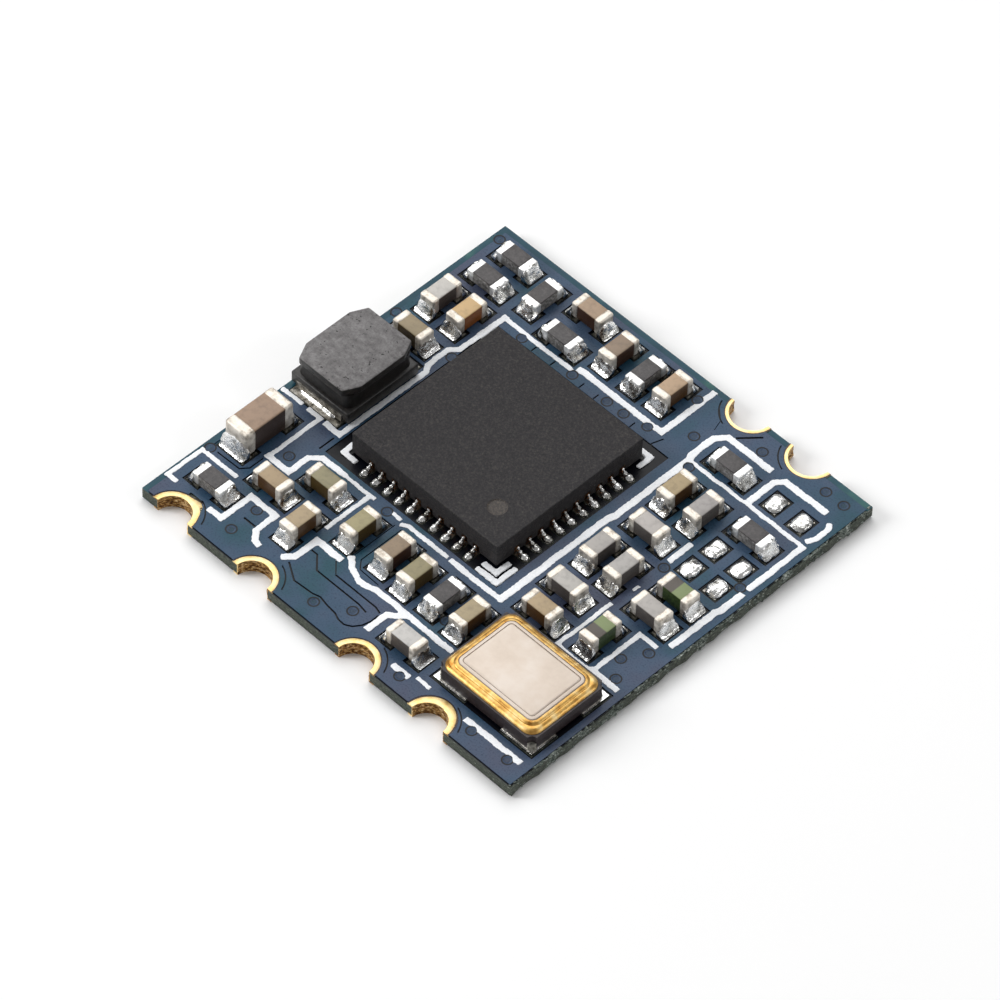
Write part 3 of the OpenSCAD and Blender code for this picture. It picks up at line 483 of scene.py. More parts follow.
def add_block(bm, size, centre, edge, segments=3, material=0, matrix=Matrix.Identity(4)):
    """Adds a box whose edges are all rounded, and returns its faces."""
    before = set(bm.faces)
    where = matrix @ Matrix.Translation(centre) @ Matrix.Diagonal((*size, 1))
    corners = bmesh.ops.create_cube(bm, size=1, matrix=where)["verts"]
    edges = list({e for v in corners for e in v.link_edges})
    bmesh.ops.bevel(bm, geom=edges, offset=edge, segments=segments, profile=0.5,
                    affect="EDGES", material=-1)
    made = fresh_faces(bm, before)
    for face in made:
        face.material_index = material
    return made


def roughen(verts, amount, size):
    """Pushes points along their normals by a smooth random amount."""
    for v in verts:
        v.co += v.normal * noise.noise(v.co / size) * amount


def everything(bm):
    return bm.verts[:] + bm.edges[:] + bm.faces[:]


def cut_off(bm, point, outwards):
    """Cuts away what lies beyond a plane, and closes the cut."""
    cut = bmesh.ops.bisect_plane(bm, geom=everything(bm), plane_co=point, plane_no=outwards,
                                 clear_outer=True)["geom_cut"]
    bmesh.ops.holes_fill(bm, edges=[e for e in cut if isinstance(e, bmesh.types.BMEdge)])


def step_face(bm, face, steps):
    """Insets a face again and again; steps are (inwards, upwards, material)."""
    for inwards, upwards, number in steps:
        known = set(bm.faces)
        bmesh.ops.inset_region(bm, faces=[face], thickness=inwards, depth=upwards)
        for made in fresh_faces(bm, known):
            made.material_index = number
    face.material_index = steps[-1][2]


def make_piece(name, bm, finishes, stands_for=(), crease=40):
    """Shrinks a bmesh to metres, makes it an object and rides it on the board."""
    bmesh.ops.recalc_face_normals(bm, faces=bm.faces)
    bm.transform(SHRINK)
    mesh = bpy.data.meshes.new(name)
    bm.to_mesh(mesh)
    bm.free()
    for finish in finishes:
        mesh.materials.append(finish)
    mesh.polygons.foreach_set("use_smooth", [True] * len(mesh.polygons))
    mesh.set_sharp_from_angle(angle=math.radians(crease))
    made = add_object(name, mesh)
    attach(made, "root")
    if stands_for:
        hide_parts(*stands_for)
    return made


def dress(node, *finishes):
    """Gives a solid of the frame its finish; the shape stays as it is."""
    mesh = frame["nodes"][node].data
    mesh.materials.clear()
    for finish in finishes:
        mesh.materials.append(finish)


print("piece helpers ready")

# %% [markdown]
# ## Solids that keep their shape
# The board's layers, the chip's leads and the hidden parts are already the right shape, so they only
# get a finish. All the copper that the mask leaves bare was tinned by the solder paste.

# %% Dress the frame's own solids
dress("board_core", fibreglass)
for node in ("top_mask", "bottom_mask"):
    dress(node, mask)
for node in ("bottom_copper", "via_barrels", "drum_winding"):
    dress(node, bare_copper)
for node in ("top_copper", "chip_ground_pad", "crystal_lands", "drum_terminals"):
    dress(node, tinned)
dress("chip_leads", lead_metal)
dress("chip_die", silicon)
dress("crystal_blank", quartz)
dress("crystal_base", dark_ceramic)
dress("crystal_solder", solder)
print("frame solids dressed")

# %% [markdown]
# ## Chip capacitors
# Each is a ceramic body with a plated metal end dipped over each side, a hair larger than the body.
# We read the place and size of each from the frame, so the looks always fit the solids. The colours
# are listed one by one, because on a real board each value comes from a different powder.

# %% Chip parts with plated ends
END = 0.22
STEP = 0.015


def lie_along(size, centre):
    """The matrix that lays a part drawn along X over a solid that may lie along Y."""
    turned = size.y > size.x
    return Matrix.Translation(centre) @ Matrix.Rotation(math.pi / 2 if turned else 0, 4, "Z")


def part_size(size):
    """Length, width and height of a part, whichever way it lies."""
    return max(size.x, size.y), min(size.x, size.y), size.z


def make_capacitor(name, node, body_finish, end=END, edge=0.06):
    centre, size = box_of(node)
    length, width, tall = part_size(size)
    matrix = lie_along(size, centre)
    bm = bmesh.new()
    body = (length - end, width - 2 * STEP, tall - 2 * STEP)
    add_block(bm, body, (0, 0, 0), edge * 0.6, matrix=matrix)
    for side in (-1, 1):
        place = (side * (length - end) / 2, 0, 0)
        add_block(bm, (end, width, tall), place, edge, segments=5, material=1, matrix=matrix)
    return make_piece(name, bm, (body_finish, plated_end), (node,))


# The second colour of each pair goes on the sides: the ceramic's own darker tone plus painted shade.
SHADED_BROWN, SHADED_TAN, SHADED_OLIVE, SHADED_GREY = shade(66, 40, 22), shade(84, 56, 22), shade(78, 60, 20), shade(84, 78, 74)
CAPACITOR_COLOURS = (
    (shade(165, 140, 115), SHADED_BROWN), (shade(140, 120, 100), SHADED_BROWN), (shade(180, 152, 122), SHADED_TAN),
    (shade(196, 192, 186), SHADED_GREY), (shade(200, 168, 120), shade(140, 80, 24)), (shade(150, 134, 104), SHADED_OLIVE),
    (shade(140, 132, 100), SHADED_OLIVE), (shade(166, 144, 112), SHADED_TAN), (shade(170, 150, 118), SHADED_TAN),
    (shade(158, 148, 110), SHADED_OLIVE), (shade(142, 122, 98), SHADED_BROWN), (shade(144, 134, 100), SHADED_OLIVE),
    (shade(166, 150, 118), SHADED_TAN), (shade(200, 197, 193), SHADED_GREY), (shade(174, 152, 118), SHADED_TAN),
    (shade(184, 180, 174), SHADED_GREY), (shade(176, 171, 166), SHADED_GREY), (shade(168, 148, 112), SHADED_TAN),
    (shade(162, 157, 154), SHADED_GREY), (shade(182, 176, 171), SHADED_GREY), (shade(170, 165, 160), SHADED_GREY),
    (shade(174, 170, 166), SHADED_GREY),
)
for number, (top, side) in enumerate(CAPACITOR_COLOURS, 1):
    node = f"capacitor_{number:02d}"
    make_capacitor(node + "_dressed", node, make_ceramic(node + "_body", top, side))
bulk_body = make_ceramic("bulk_body", shade(156, 130, 108), shade(58, 42, 32))
make_capacitor("bulk_capacitor_dressed", "bulk_capacitor", bulk_body, end=0.34, edge=0.09)
print(len(CAPACITOR_COLOURS) + 1, "capacitors")

# %% [markdown]
# ## Chip resistors
# A resistor is flatter: a slip of white alumina, a black glaze over the middle of its top, and bright
# ends that wrap round from top to bottom.

# %% Resistors
def make_resistor(name, node):
    centre, size = box_of(node)
    length, width, tall = part_size(size)
    matrix = lie_along(size, centre)
    bm = bmesh.new()
    add_block(bm, (length - END, width - 2 * STEP, tall - 0.04), (0, 0, -0.02), 0.012, matrix=matrix)
    add_block(bm, (length - 2 * END + 0.06, width - 0.03, 0.04), (0, 0, tall / 2 - 0.02), 0.014,
              material=1, matrix=matrix)
    for side in (-1, 1):
        place = (side * (length - END) / 2, 0, -0.008)
        add_block(bm, (END, width, tall - 0.016), place, 0.035, segments=4, material=2, matrix=matrix)
    return make_piece(name, bm, (alumina, glaze, silver_end), (node,))


resistors = [node for node in frame["nodes"] if node.startswith("resistor_")]
for node in sorted(resistors):
    make_resistor(node + "_dressed", node)
print(len(resistors), "resistors")

# %% [markdown]
# ## Green chip inductors
# These look like capacitors, but the ceramic is green and a dark band on top marks which way round
# they go. A ramp along the part's own length draws the band.

# %% Inductor chips
def make_green(name, node, side):
    """Green ceramic; the dark band lies towards the `side` (+1 or -1) end of the part."""
    centre, size = box_of(node)
    finish = new_finish(name, shade(120, 132, 92), gloss=0.4)
    axis = 1 if size.y > size.x else 0
    along = add_node(finish, "SeparateXYZ", {0: place_on(finish)}).outputs["XY"[axis]]
    middle, half = centre[axis], 0.28 * side
    light, dark = shade(122, 136, 88), shade(78, 70, 62)
    tops = ramp(finish, along, middle - half, middle + half,
                (0.0, light), (0.5, light), (0.56, dark), (1.0, dark))
    # The green sides are darker partly by their own tone and partly as painted shade.
    shaded_sides = ramp(finish, grain(finish, 0.08, detail=4), 0.3, 0.7,
                 (0.0, shade(34, 46, 22)), (1.0, shade(70, 88, 44)))
    paint(finish, colour=tops_and_shaded_sides(finish, 0.4, 0.8, shaded_sides, tops))
    press(finish, (grain(finish, 0.06, detail=3), 0.008))
    return finish


for node, side in (("chip_inductor_01", -1), ("chip_inductor_02", -1)):
    make_capacitor(node + "_dressed", node, make_green(node + "_body", node, side), edge=0.045)
print("two chip inductors")

# %% [markdown]
# ## Solder joints
# Solder climbs a part's end and falls in a hollow curve to the edge of its land. We start from a
# finely divided block that fills the joint's space, then lower its top along that curve and stir it
# a little with noise, because no two joints freeze alike.

# %% Joints of the small parts
LAND = 0.38
HEEL = 0.2
LAND_SIDE = 0.05
TOE = 0.02


def blank_joint():
    """A finely divided unit block, from 0 to 1 outwards and upwards and centred across."""
    bm = bmesh.new()
    bmesh.ops.create_cube(bm, size=1, matrix=Matrix.Translation((0.5, 0, 0.5)))
    bmesh.ops.subdivide_edges(bm, edges=bm.edges[:], cuts=7, use_grid_fill=True)
    mesh = bpy.data.meshes.new("blank_joint")
    bm.to_mesh(mesh)
    bm.free()
    return mesh


def add_joint(bm, blank, length, width, rise, run, hollow, matrix):
    """One joint past the +X end of a part; the matrix places and turns it."""
    inside = 0.05
    old = len(bm.verts)
    bm.from_mesh(blank)
    bm.verts.ensure_lookup_table()
    for v in bm.verts[old:]:
        u, across, up = v.co
        t = max(u * (run + inside) - inside, 0) / run
        crown = 1 - (2 * abs(across)) ** 3 * 0.55
        flat = Vector((length / 2 - inside + u * (run + inside), across * width * (1 - 0.2 * t**3), 0))
        stir = 1 + 0.55 * noise.noise((matrix @ flat) / 0.17)
        fall = TOE / rise + (1 - TOE / rise) * (1 - t) ** hollow * crown * stir
        v.co = matrix @ (flat + Vector((0, 0, LAND + up * rise * min(fall, 1))))


def add_joints(bm, node, climb, hollow=1.9, run=HEEL, width=None):
    """Both joints of a part; solder climbs to a share of its height."""
    centre, size = box_of(node)
    length, across, tall = part_size(size)
    matrix = lie_along(size, Vector((centre.x, centre.y, 0)))
    foot = centre.z - tall / 2 - LAND
    wide = width or across + 2 * LAND_SIDE
    for half_turn in (0, math.pi):
        turned = matrix @ Matrix.Rotation(half_turn, 4, "Z")
        add_joint(bm, blank, length, wide, foot + tall * climb, run, hollow, turned)


blank = blank_joint()
joints = bmesh.new()
for node in sorted(frame["nodes"]):
    if node.startswith(("capacitor_", "chip_inductor_")):
        add_joints(joints, node, 0.66)
    if node.startswith("resistor_"):
        add_joints(joints, node, 0.98, hollow=1.2)
add_joints(joints, "bulk_capacitor", 0.6)
add_joints(joints, "drum_terminals", 0.3, run=0.06, width=1.2)
bpy.data.meshes.remove(blank)
print(len(joints.faces), "faces of solder")
make_piece("solder_joints", joints, (solder,), ("small_part_solder",), crease=60)

# %% [markdown]
# ## The radio chip
# The moulding is one block of black epoxy with edges a saw left crisp, and a dimple that marks the
# first lead. To cut the dimple, four planes first mark off a small square of the top face. The square
# is swapped for a ring of faces round a circle, and the circle is drawn down into a shallow dish.

# %% Chip moulding
DIMPLE = 0.26
DIMPLE_IN = 0.9
SQUARE = 0.36


def make_moulding():
    centre, size = box_of("chip_moulding")
    bm = bmesh.new()
    add_block(bm, size, centre, 0.02, segments=2)
    place = Vector((centre.x + size.x / 2 - DIMPLE_IN, centre.y - size.y / 2 + DIMPLE_IN,
                    centre.z + size.z / 2))
    for axis in ((1, 0, 0), (0, 1, 0)):
        for side in (-1, 1):
            point = place + side * SQUARE * Vector(axis)
            lid = [f for f in bm.faces if f.calc_center_median().z > place.z - 1e-4]
            around = {part for f in lid for part in (*f.verts, *f.edges, f)}
            bmesh.ops.bisect_plane(bm, geom=list(around), plane_co=point, plane_no=axis)
    flat = [f for f in bm.faces if f.calc_center_median().z > place.z - 1e-4]
    square = min(flat, key=lambda face: (face.calc_center_median() - place).length)
    ring = list(square.edges)
    bmesh.ops.delete(bm, geom=[square], context="FACES_ONLY")
    bmesh.ops.subdivide_edges(bm, edges=ring, cuts=11)
    ring = [e for e in bm.edges if len(e.link_faces) == 1]
    circle = bmesh.ops.create_circle(bm, segments=48, radius=DIMPLE,
                                     matrix=Matrix.Translation(place) @ Matrix.Rotation(math.pi / 4, 4, "Z"))
    rim = list({e for v in circle["verts"] for e in v.link_edges})
    bmesh.ops.bridge_loops(bm, edges=ring + rim)
    dish = bm.faces.new(circle["verts"])
    bmesh.ops.recalc_face_normals(bm, faces=bm.faces)
    before = set(bm.faces)
    for thickness, depth in ((0.012, -0.014), (0.02, -0.012), (0.03, -0.003)):
        bmesh.ops.inset_region(bm, faces=[dish], thickness=thickness, depth=depth)
    for face in [dish] + fresh_faces(bm, before):
        face.material_index = 1
    return make_piece("chip_moulding_dressed", bm, (moulding, dimple_floor),
                      ("chip_moulding",), crease=15)


make_moulding()
print("moulding with its dimple")

# %% [markdown]
# The forty toes of solder are one drop with a neck that climbs the lead's end. It is copied ten times
# along a side, and then spun to the other three sides.

# %% Toes of solder round the chip
LEAD_PITCH = 0.4
LEADS = 10


def add_toe(bm, place):
    """A drop of solder, a neck and a small bead where it ends on the chip's side."""
    for y, z, radii, segments in (
        (-0.215, 0.0, (0.11, 0.165, 0.115), 16),
        (-0.09, 0.09, (0.06, 0.09, 0.075), 12),
        (-0.03, 0.165, (0.042, 0.045, 0.06), 12),
    ):
        shape = Matrix.Translation(place + Vector((0, y, z))) @ Matrix.Diagonal((*radii, 1))
        bmesh.ops.create_uvsphere(bm, u_segments=segments, v_segments=segments - 4, radius=1, matrix=shape)


def make_toes():
    centre, size = box_of("chip_moulding")
    bm = bmesh.new()
    first = centre.x - (LEADS - 1) / 2 * LEAD_PITCH
    for number in range(LEADS):
        add_toe(bm, Vector((first + number * LEAD_PITCH, centre.y - size.y / 2, LAND)))
    cut_off(bm, (0, 0, LAND), (0, 0, -1))
    bmesh.ops.spin(bm, geom=everything(bm), cent=centre, axis=(0, 0, 1),
                   angle=math.pi * 1.5, steps=3, use_duplicate=True)
    bm.normal_update()
    roughen(bm.verts, 0.012, 0.1)
    pad = Vector((centre.x, centre.y, LAND + 0.02))
    add_block(bm, (3.6, 3.6, 0.04), pad, 0.005, segments=1)
    return make_piece("chip_solder_dressed", bm, (solder,), ("chip_solder",), crease=70)


toes = make_toes()
print("forty toes,", len(toes.data.polygons), "faces")

# %% [markdown]
# ## The crystal's seal ring and lid
# The ceramic base carries a gold ring, and a thin stepped lid is welded onto it. Both are one
# rounded block whose top face is inset again and again, each time a little higher or lower: that is
# how a lathe-like step is cut on a shape that isn't round. Each step may carry its own finish: gold
# on the shoulder and the brim, a dark line in the groove, and the pale lid inside it.

# %% Rounded slab with a stepped top
def add_slab(bm, size, low, tall, centre, corner, steps, material=0):
    """A slab with round corners; steps are (inwards, upwards, material) moves of its top face."""
    before = set(bm.faces)
    where = Matrix.Translation((centre.x, centre.y, low + tall / 2)) @ Matrix.Diagonal((*size, tall, 1))
    corners = bmesh.ops.create_cube(bm, size=1, matrix=where)["verts"]
    posts = [e for v in corners for e in v.link_edges if abs(e.verts[0].co.z - e.verts[1].co.z) > tall / 2]
    bmesh.ops.bevel(bm, geom=list(set(posts)), offset=corner, segments=10, profile=0.5,
                    affect="EDGES", material=-1)
    for face in fresh_faces(bm, before):
        face.material_index = material
    top = top_face(fresh_faces(bm, before))
    step_face(bm, top, steps)
    return top


def make_ring():
    centre, size = box_of("crystal_seal_ring")
    bm = bmesh.new()
    low = centre.z - size.z / 2
    shoulder = ((0.015, 0.03, 0), (0.05, 0.035, 0), (0.065, 0.025, 0))
    top = add_slab(bm, (size.x, size.y), low, size.z - 0.09, centre, 0.32, shoulder)
    bmesh.ops.inset_region(bm, faces=[top], thickness=0.2, depth=0)
    floor = min(bm.faces, key=lambda face: face.calc_center_median().z)
    bmesh.ops.inset_region(bm, faces=[floor], thickness=0.33, depth=0)
    rims = list(top.edges) + list(floor.edges)
    bmesh.ops.delete(bm, geom=[top, floor], context="FACES_ONLY")
    bmesh.ops.bridge_loops(bm, edges=rims)
    return make_piece("seal_ring_dressed", bm, (lid_gold,), ("crystal_seal_ring",))


lid_groove = make_grainy("lid_groove", [shade(84, 66, 50), shade(128, 108, 92), shade(170, 150, 134)],
                         0.1, 0.5, 0.002)
LID_STEPS = (
    (0.01, 0.012, 1), (0.05, 0.02, 1), (0.045, 0.008, 1), (0.008, -0.012, 2), (0.016, 0.0, 2),
    (0.008, 0.024, 0), (0.015, 0.008, 0), (0.06, 0.004, 0), (0.01, -0.008, 2), (0.012, 0.0, 2),
    (0.012, 0.014, 0), (0.03, 0.01, 0),
)


def make_lid():
    centre, size = box_of("crystal_lid")
    bm = bmesh.new()
    low = centre.z - size.z / 2
    rise = sum(step[1] for step in LID_STEPS)
    add_slab(bm, (size.x, size.y), low, size.z - rise, centre, 0.32, LID_STEPS, material=1)
    return make_piece("crystal_lid_dressed", bm, (lid_metal, lid_gold, lid_groove),
                      ("crystal_lid",))


make_ring()
make_lid()
print("seal ring and lid")

# %% [markdown]
# ## The drum core
# The power inductor is a ferrite spool: a square foot, a post and a top plate with cut corners. Its
# winding hides in black resin between them. The plate starts as eight points joined into one face,
# which is extruded upwards and then inset for its raised face.

# %% Drum core and its resin
DRUM_CUT = (0.22, 0.45)
PLATE_T = 0.25
FOOT_T = 0.35
POST_R = 0.45
RIM = 0.03
FACE_RISE = 0.012


def add_plate(bm, centre, low, tall, half_x, half_y):
    """The top plate: an octagon with uneven corners, extruded, with soft edges."""
    cut_x, cut_y = DRUM_CUT
    corners = []
    for sx, sy in ((1, 1), (-1, 1), (-1, -1), (1, -1)):
        pair = [(half_x, half_y - cut_y), (half_x - cut_x, half_y)]
        if sx * sy < 0:
            pair.reverse()
        corners += [Vector((centre.x + sx * x, centre.y + sy * y, low)) for x, y in pair]
    points = [bm.verts.new(p) for p in corners]
    floor = bm.faces.new(points)
    made = bmesh.ops.extrude_face_region(bm, geom=[floor])["geom"]
    lifted = [v for v in made if isinstance(v, bmesh.types.BMVert)]
    bmesh.ops.translate(bm, verts=lifted, vec=(0, 0, tall))
    bmesh.ops.recalc_face_normals(bm, faces=bm.faces)
    edges = list({e for v in points + lifted for e in v.link_edges})
    bmesh.ops.bevel(bm, geom=edges, offset=0.035, segments=3, profile=0.5, affect="EDGES", material=-1)
    return top_face(bm.faces)


def make_drum():
    centre, size = box_of("drum_core")
    floor, top = centre.z - size.z / 2, centre.z + size.z / 2
    bm = bmesh.new()
    face = add_plate(bm, centre, top - PLATE_T, 0.235,
                     size.x / 2 - RIM, size.y / 2 - RIM)
    bmesh.ops.inset_region(bm, faces=[face], thickness=0.05, depth=0.0)
    bmesh.ops.inset_region(bm, faces=[face], thickness=RIM, depth=FACE_RISE)
    foot = Vector((centre.x, centre.y, floor + FOOT_T / 2))
    add_block(bm, (size.x, size.y, FOOT_T), foot, 0.045, segments=3)
    post = Matrix.Translation((centre.x, centre.y, floor + FOOT_T + 0.22))
    bmesh.ops.create_cone(bm, segments=40, radius1=POST_R, radius2=POST_R, depth=0.45,
                          cap_ends=True, matrix=post)
    # Upward faces at the top get the grey ferrite; all the others get the dark one, which carries painted
    # shade as well as the foot's black coat.
    for face in bm.faces:
        middle = face.calc_center_median()
        face.material_index = 0 if middle.z > top - 0.06 and face.normal.z > 0.3 else 1
    return make_piece("drum_core_dressed", bm, (ferrite, ferrite_coat_and_shade), ("drum_core",), crease=30)


def make_resin():
    centre, size = box_of("drum_resin")
    bm = bmesh.new()
    add_slab(bm, (size.x, size.y), centre.z - size.z / 2, size.z, centre, 0.2, ((0.01, 0.0, 0),))
    posts = [e for e in bm.edges if abs(e.verts[0].co.z - e.verts[1].co.z) > size.z / 2]
    bmesh.ops.subdivide_edges(bm, edges=posts, cuts=3)
    for v in bm.verts:
        share = (v.co.z - centre.z) / size.z * 2
        waist = 1 - 0.02 * (1 - share * share) + 0.01 * noise.noise(v.co / 0.4)
        v.co.x = centre.x + (v.co.x - centre.x) * min(waist, 1)
        v.co.y = centre.y + (v.co.y - centre.y) * min(waist, 1)
    return make_piece("drum_resin_dressed", bm, (resin,), ("drum_resin",), crease=60)


make_drum()
make_resin()
print("drum core and resin")

# %% [markdown]
# ## Empty places
# Three places on the board have no part. Their lands still got solder paste, which melted into low
# shiny cushions. Each is a sphere drawn out to a rounded square, stirred with noise and cut flat.

# %% Solder on the empty lands
CUSHION = (0.235, 0.295, 0.13)
BARE_ROWS = (4.55, 2.45, 1.6)
BARE_HALF_PITCH = 0.425


def make_cushions():
    centre = box_of("bare_land_solder")[0]
    bm = bmesh.new()
    for y in BARE_ROWS:
        for side in (-1, 1):
            found = bmesh.ops.create_uvsphere(bm, u_segments=32, v_segments=18, radius=1)["verts"]
            for v in found:
                v.co.x = math.copysign(abs(v.co.x) ** 0.66, v.co.x)
                v.co.y = math.copysign(abs(v.co.y) ** 0.66, v.co.y)
            place = Matrix.Translation((centre.x + side * BARE_HALF_PITCH, y, LAND))
            bmesh.ops.transform(bm, matrix=place @ Matrix.Diagonal((*CUSHION, 1)), verts=found)
    bm.normal_update()
    roughen(bm.verts, 0.04, 0.2)
    cut_off(bm, (0, 0, LAND), (0, 0, -1))
    return make_piece("bare_solder_dressed", bm, (solder,), ("bare_land_solder",), crease=70)


make_cushions()
print("six solder cushions")

# %% [markdown]
# ## Half-hole contacts
# A hole was drilled on the board's outline and plated, and the board was then cut through it. Each
# contact is a C-shaped section spun half a turn about the hole's axis. Its wall is torn by the drill,
# so the points on the wall are stirred with noise. The first contact's ring swells where its track
# leaves it.

# %% Edge contacts
RING = 0.66
OUTSIDE = 0.03
SKIN = 0.03
FLANGE = 0.05
LINE = 0.035
TOP = MASK_HIGH
LUMP_AT = math.radians(62)


def add_contact(bm, x, y, facing, hole, stretch=0.0, lump=0.0):
    before = set(bm.verts)
    known = set(bm.faces)
    rows = 9
    wall = [(hole, (TOP - 0.012) * i / rows) for i in range(rows + 1)] + [(hole + 0.012, TOP)]
    outside = [(RING - 0.012, TOP), (RING, TOP - 0.008), (RING + LINE, TOP - 0.01),
               (RING + LINE, TOP - FLANGE), (hole + SKIN, TOP - FLANGE), (hole + SKIN, FLANGE),
               (RING, FLANGE), (RING, 0)]
    centre = Vector((x, y - facing * OUTSIDE, 0))
    points = [bm.verts.new(centre + Vector((r, 0, z))) for r, z in wall + outside]
    edges = [bm.edges.new((points[i], points[i - 1])) for i in range(len(points))]
    bmesh.ops.spin(bm, geom=points + edges, cent=centre, axis=(0, 0, facing), angle=math.pi, steps=48)
    for face in fresh_faces(bm, known):
        middle = face.calc_center_median() - centre
        reach = math.hypot(middle.x, middle.y)
        if reach < hole + 0.006 and 0.02 < middle.z < TOP - 0.03:
            face.material_index = 1
        elif reach > RING and middle.z > TOP - 0.02:
            face.material_index = 2
    for v in [v for v in bm.verts if v not in before]:
        away = v.co - centre
        reach = math.hypot(away.x, away.y)
        if reach < hole + 0.01 and 0.03 < v.co.z < TOP - 0.03:
            inwards = 0.55 * noise.noise(v.co / 0.08) + 0.5 * noise.noise(v.co / 0.18)
            v.co.x -= away.x * 0.09 * inwards
            v.co.y -= away.y * 0.09 * inwards
        if reach > hole + 0.05 and v.co.z > TOP - 0.06:
            swell = lump * math.exp(-((math.atan2(abs(away.y), away.x) - LUMP_AT) / 0.3) ** 2)
            v.co.x += away.x / reach * swell
            v.co.y += away.y / reach * swell + facing * stretch * abs(away.y) / RING


def make_contacts():
    half_d = box_of("edge_contacts")[1].y / 2
    bm = bmesh.new()
    for mount in frame["record"]["mounts"]:
        if "contact" not in mount["name"]:
            continue
        x, y = (value / MM for value in mount["pos_m"][:2])
        facing = 1 if y < 0 else -1
        hole = mount["dims"]["r_mm"]
        first = mount["name"] == "front_contact_1"
        last = mount["name"] == "front_contact_4"
        add_contact(bm, x, math.copysign(half_d, y), facing, hole, 0.08 * last, 0.12 * first)
    for sign in (-1, 1):
        cut_off(bm, (0, sign * half_d, 0), (0, sign, 0))
    return make_piece("edge_contacts_dressed", bm, (gold, barrel, outline), ("edge_contacts",))


make_contacts()
print("six contacts")

# %% [markdown]
# ## Printed legend
# The white lines are screen printed, so their ends are round and their edges waver a little. We take
# a copy of the plain lines, make it thick for a moment, and remesh it into a fine even grid. Then it
# can be smoothed, stirred and flattened back onto the board.

# %% Soften the printed lines
INK_GRID = 0.024
THICKEN = 6.0


def make_legend():
    source = bmesh.new()
    source.from_mesh(frame["nodes"]["top_legend"].data)
    source.transform(Matrix.Scale(1 / MM, 4))
    bmesh.ops.remove_doubles(source, verts=source.verts, dist=1e-4)
    for v in source.verts:
        v.co.z = (v.co.z - TOP) * THICKEN
    bmesh.ops.recalc_face_normals(source, faces=source.faces)
    mesh = bpy.data.meshes.new("legend_blank")
    source.to_mesh(mesh)
    source.free()
    thick = add_object("legend_blank", mesh)
    remesh = thick.modifiers.new("grid", "REMESH")
    remesh.mode = "VOXEL"
    remesh.voxel_size = INK_GRID
    smooth = thick.modifiers.new("soften", "SMOOTH")
    smooth.factor = 0.5
    smooth.iterations = 3
    bpy.context.view_layer.update()
    even = bpy.data.meshes.new_from_object(thick.evaluated_get(bpy.context.evaluated_depsgraph_get()))
    bm = bmesh.new()
    bm.from_mesh(even)
    bpy.data.objects.remove(thick)
    bpy.data.meshes.remove(mesh)
    bpy.data.meshes.remove(even)
    for v in bm.verts:
        push = noise.noise_vector(v.co / 0.07) * 0.018 + noise.noise_vector(v.co / 0.3) * 0.022
        v.co.x += push.x
        v.co.y += push.y
        v.co.z = TOP + v.co.z / THICKEN
    return make_piece("legend_dressed", bm, (ink,), ("top_legend",), crease=180)


legend = make_legend()
print("legend,", len(legend.data.polygons), "faces")

# %% [markdown]
# ## Through holes
# A small plated hole under the mask shows as a dimple: a dark ring round its rim, a slate slope, and
# a black eye where the lacquer has filled the hole. The dark ring and the black eye are painted shade,
# and the pale dot in the eye is a painted highlight. Each is a short plug whose top face is inset
# again and again, and each step gets its own finish.

# %% Dimples over the through holes
def make_flat(name, dark, light, gloss):
    finish = new_finish(name, light, gloss=gloss, specular=0.2)
    paint(finish, colour=ramp(finish, grain(finish, 0.12), 0.3, 0.7, (0.0, dark), (1.0, light)))
    return finish


# Painted shade for the dark ring and the eye, and a painted highlight for the dot in the eye.
dimple_painted_shade = make_flat("dimple_painted_shade", shade(3, 5, 10), shade(8, 12, 22), 0.3)
dimple_slope = make_flat("dimple_slope", shade(40, 56, 80), shade(70, 88, 112), 0.25)
dimple_painted_glint = make_flat("dimple_painted_glint", shade(150, 166, 186), shade(206, 216, 228), 0.3)


def hole_middles():
    """The middle of every separate barrel among the through holes."""
    source = bmesh.new()
    source.from_mesh(frame["nodes"]["via_barrels"].data)
    source.transform(Matrix.Scale(1 / MM, 4))
    bmesh.ops.remove_doubles(source, verts=source.verts, dist=1e-4)
    middles = []
    left_over = set(source.verts)
    while left_over:
        island = {left_over.pop()}
        frontier = set(island)
        while frontier:
            frontier = {e.other_vert(v) for v in frontier for e in v.link_edges} & left_over
            left_over -= frontier
            island |= frontier
        middles.append(sum((v.co for v in island), Vector()) / len(island))
    source.free()
    return middles


DIMPLE_STEPS = (
    (0.035, 0.0012, 0), (0.014, -0.006, 0), (0.034, -0.006, 1), (0.014, -0.006, 0),
    (0.04, -0.002, 0), (0.004, 0.003, 2),
)


def make_dimples():
    bm = bmesh.new()
    for middle in hole_middles():
        before = set(bm.faces)
        place = Matrix.Translation((middle.x, middle.y, TOP - 0.0135))
        bmesh.ops.create_cone(bm, segments=24, radius1=0.16, radius2=0.16, depth=0.03,
                              cap_ends=True, matrix=place)
        lid = top_face(fresh_faces(bm, before))
        step_face(bm, lid, DIMPLE_STEPS)
    return make_piece("via_dimples", bm, (dimple_painted_shade, dimple_slope, dimple_painted_glint),
                      ("via_barrels",))


dimples = make_dimples()
print("dimples,", len(dimples.data.polygons), "faces")

# %% [markdown]
# ## The snapped edge
# Three sides of the board were milled, but the right one was broken off its panel. Torn glass fibres
# stand out of it. A divided strip, pushed in and out by noise that runs along the edge, gives it
# teeth of uneven length.

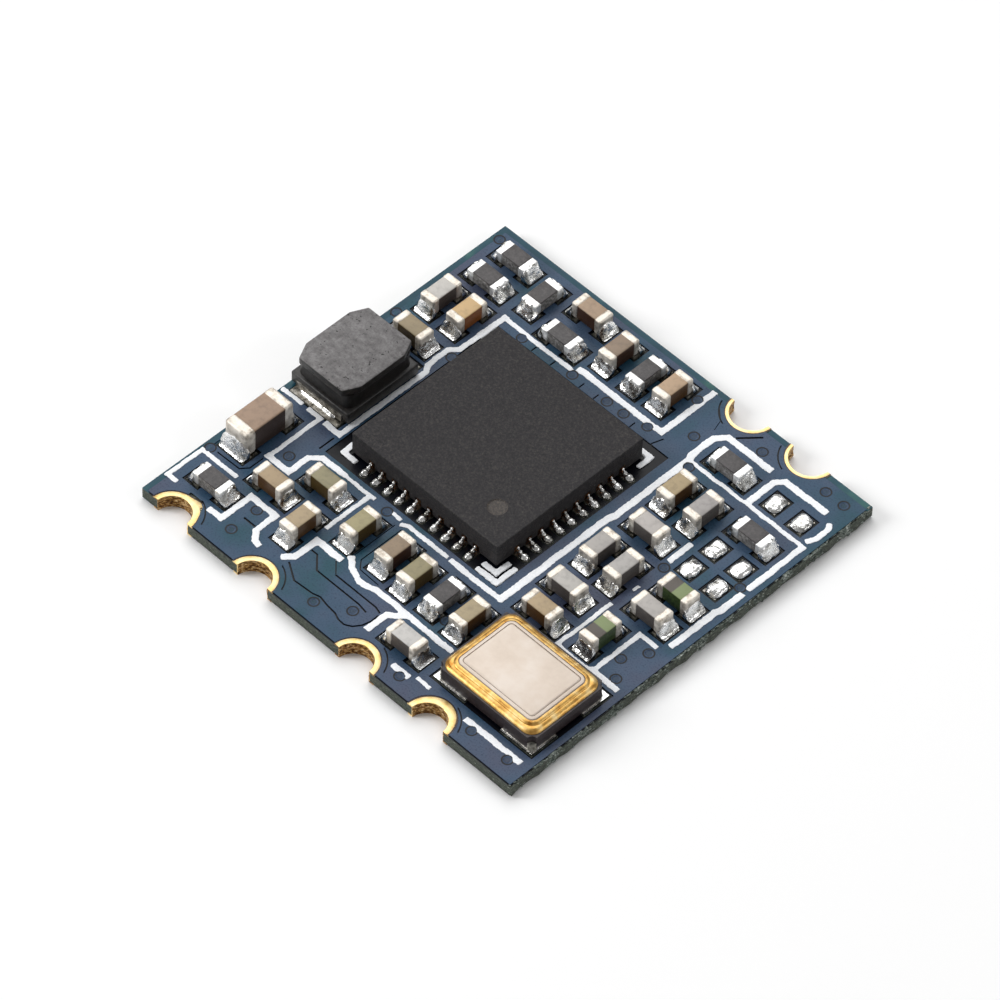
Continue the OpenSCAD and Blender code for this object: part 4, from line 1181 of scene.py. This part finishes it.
# %% Torn fibres
def make_torn_finish():
    finish = new_finish("torn_fibre", shade(118, 126, 110), gloss=0.75, specular=0.25)
    thread = grain(finish, 0.075, stretch=(1, 1, 1.4), detail=6, rough=0.8)
    patch = ramp(finish, grain(finish, 0.5, detail=3), 0.3, 0.7,
                 (0.0, shade(170, 176, 172)), (1.0, shade(255, 255, 255)))
    tone = ramp(finish, thread, 0.36, 0.64,
                (0.0, shade(34, 42, 40)), (0.35, shade(96, 106, 100)),
                (0.65, shade(160, 168, 160)), (1.0, shade(244, 248, 242)))
    paint(finish, colour=mixed(finish, 1.0, tone, patch, "MULTIPLY"))
    press(finish, (thread, 0.05))
    return finish


def make_fibres():
    low, high = (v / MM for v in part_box("board_core"))
    deep = 0.13
    tall = high.z - low.z + 0.03
    bm = bmesh.new()
    place = Matrix.Translation((high.x - deep / 2, 0, low.z + tall / 2)) @ Matrix.Diagonal(
        (deep, high.y - low.y - 0.02, tall, 1))
    bmesh.ops.create_cube(bm, size=1, matrix=place)
    long_edges = [e for e in bm.edges if abs(e.verts[0].co.y - e.verts[1].co.y) > 1]
    bmesh.ops.subdivide_edges(bm, edges=long_edges, cuts=320)
    tall_edges = [e for e in bm.edges if abs(e.verts[0].co.z - e.verts[1].co.z) > 0.1]
    bmesh.ops.subdivide_edges(bm, edges=tall_edges, cuts=9, use_grid_fill=True)
    for v in bm.verts:
        coarse = noise.noise(Vector((v.co.y / 0.5, v.co.z / 0.3, 7)))
        if v.co.x > high.x - 0.01:
            spot = Vector((v.co.y / 0.12, v.co.z / 0.05, 0))
            v.co.x -= max(0.055 + 0.07 * noise.noise(spot) + 0.06 * coarse, 0)
        if v.co.z > low.z + tall - 0.001:
            v.co.z += 0.03 * noise.noise(Vector((v.co.y / 0.1, v.co.x / 0.1, 3))) - 0.005
    return make_piece("snapped_fibres", bm, (torn_fibre,))


torn_fibre = make_torn_finish()
make_fibres()
print("snapped edge")

# %% [markdown]
# ## The floor
# A plain pale floor carries the module's soft shadow.

# %% Lay the floor
def make_floor():
    bm = bmesh.new()
    bmesh.ops.create_grid(bm, x_segments=8, y_segments=8, size=1.0)
    mesh = bpy.data.meshes.new("floor")
    bm.to_mesh(mesh)
    bm.free()
    finish = new_finish("floor_white", (0.99, 0.99, 0.99, 1), gloss=0.9, specular=0.0)
    mesh.materials.append(finish)
    floor = add_object("floor", mesh)
    return floor


make_floor()
print("floor laid")
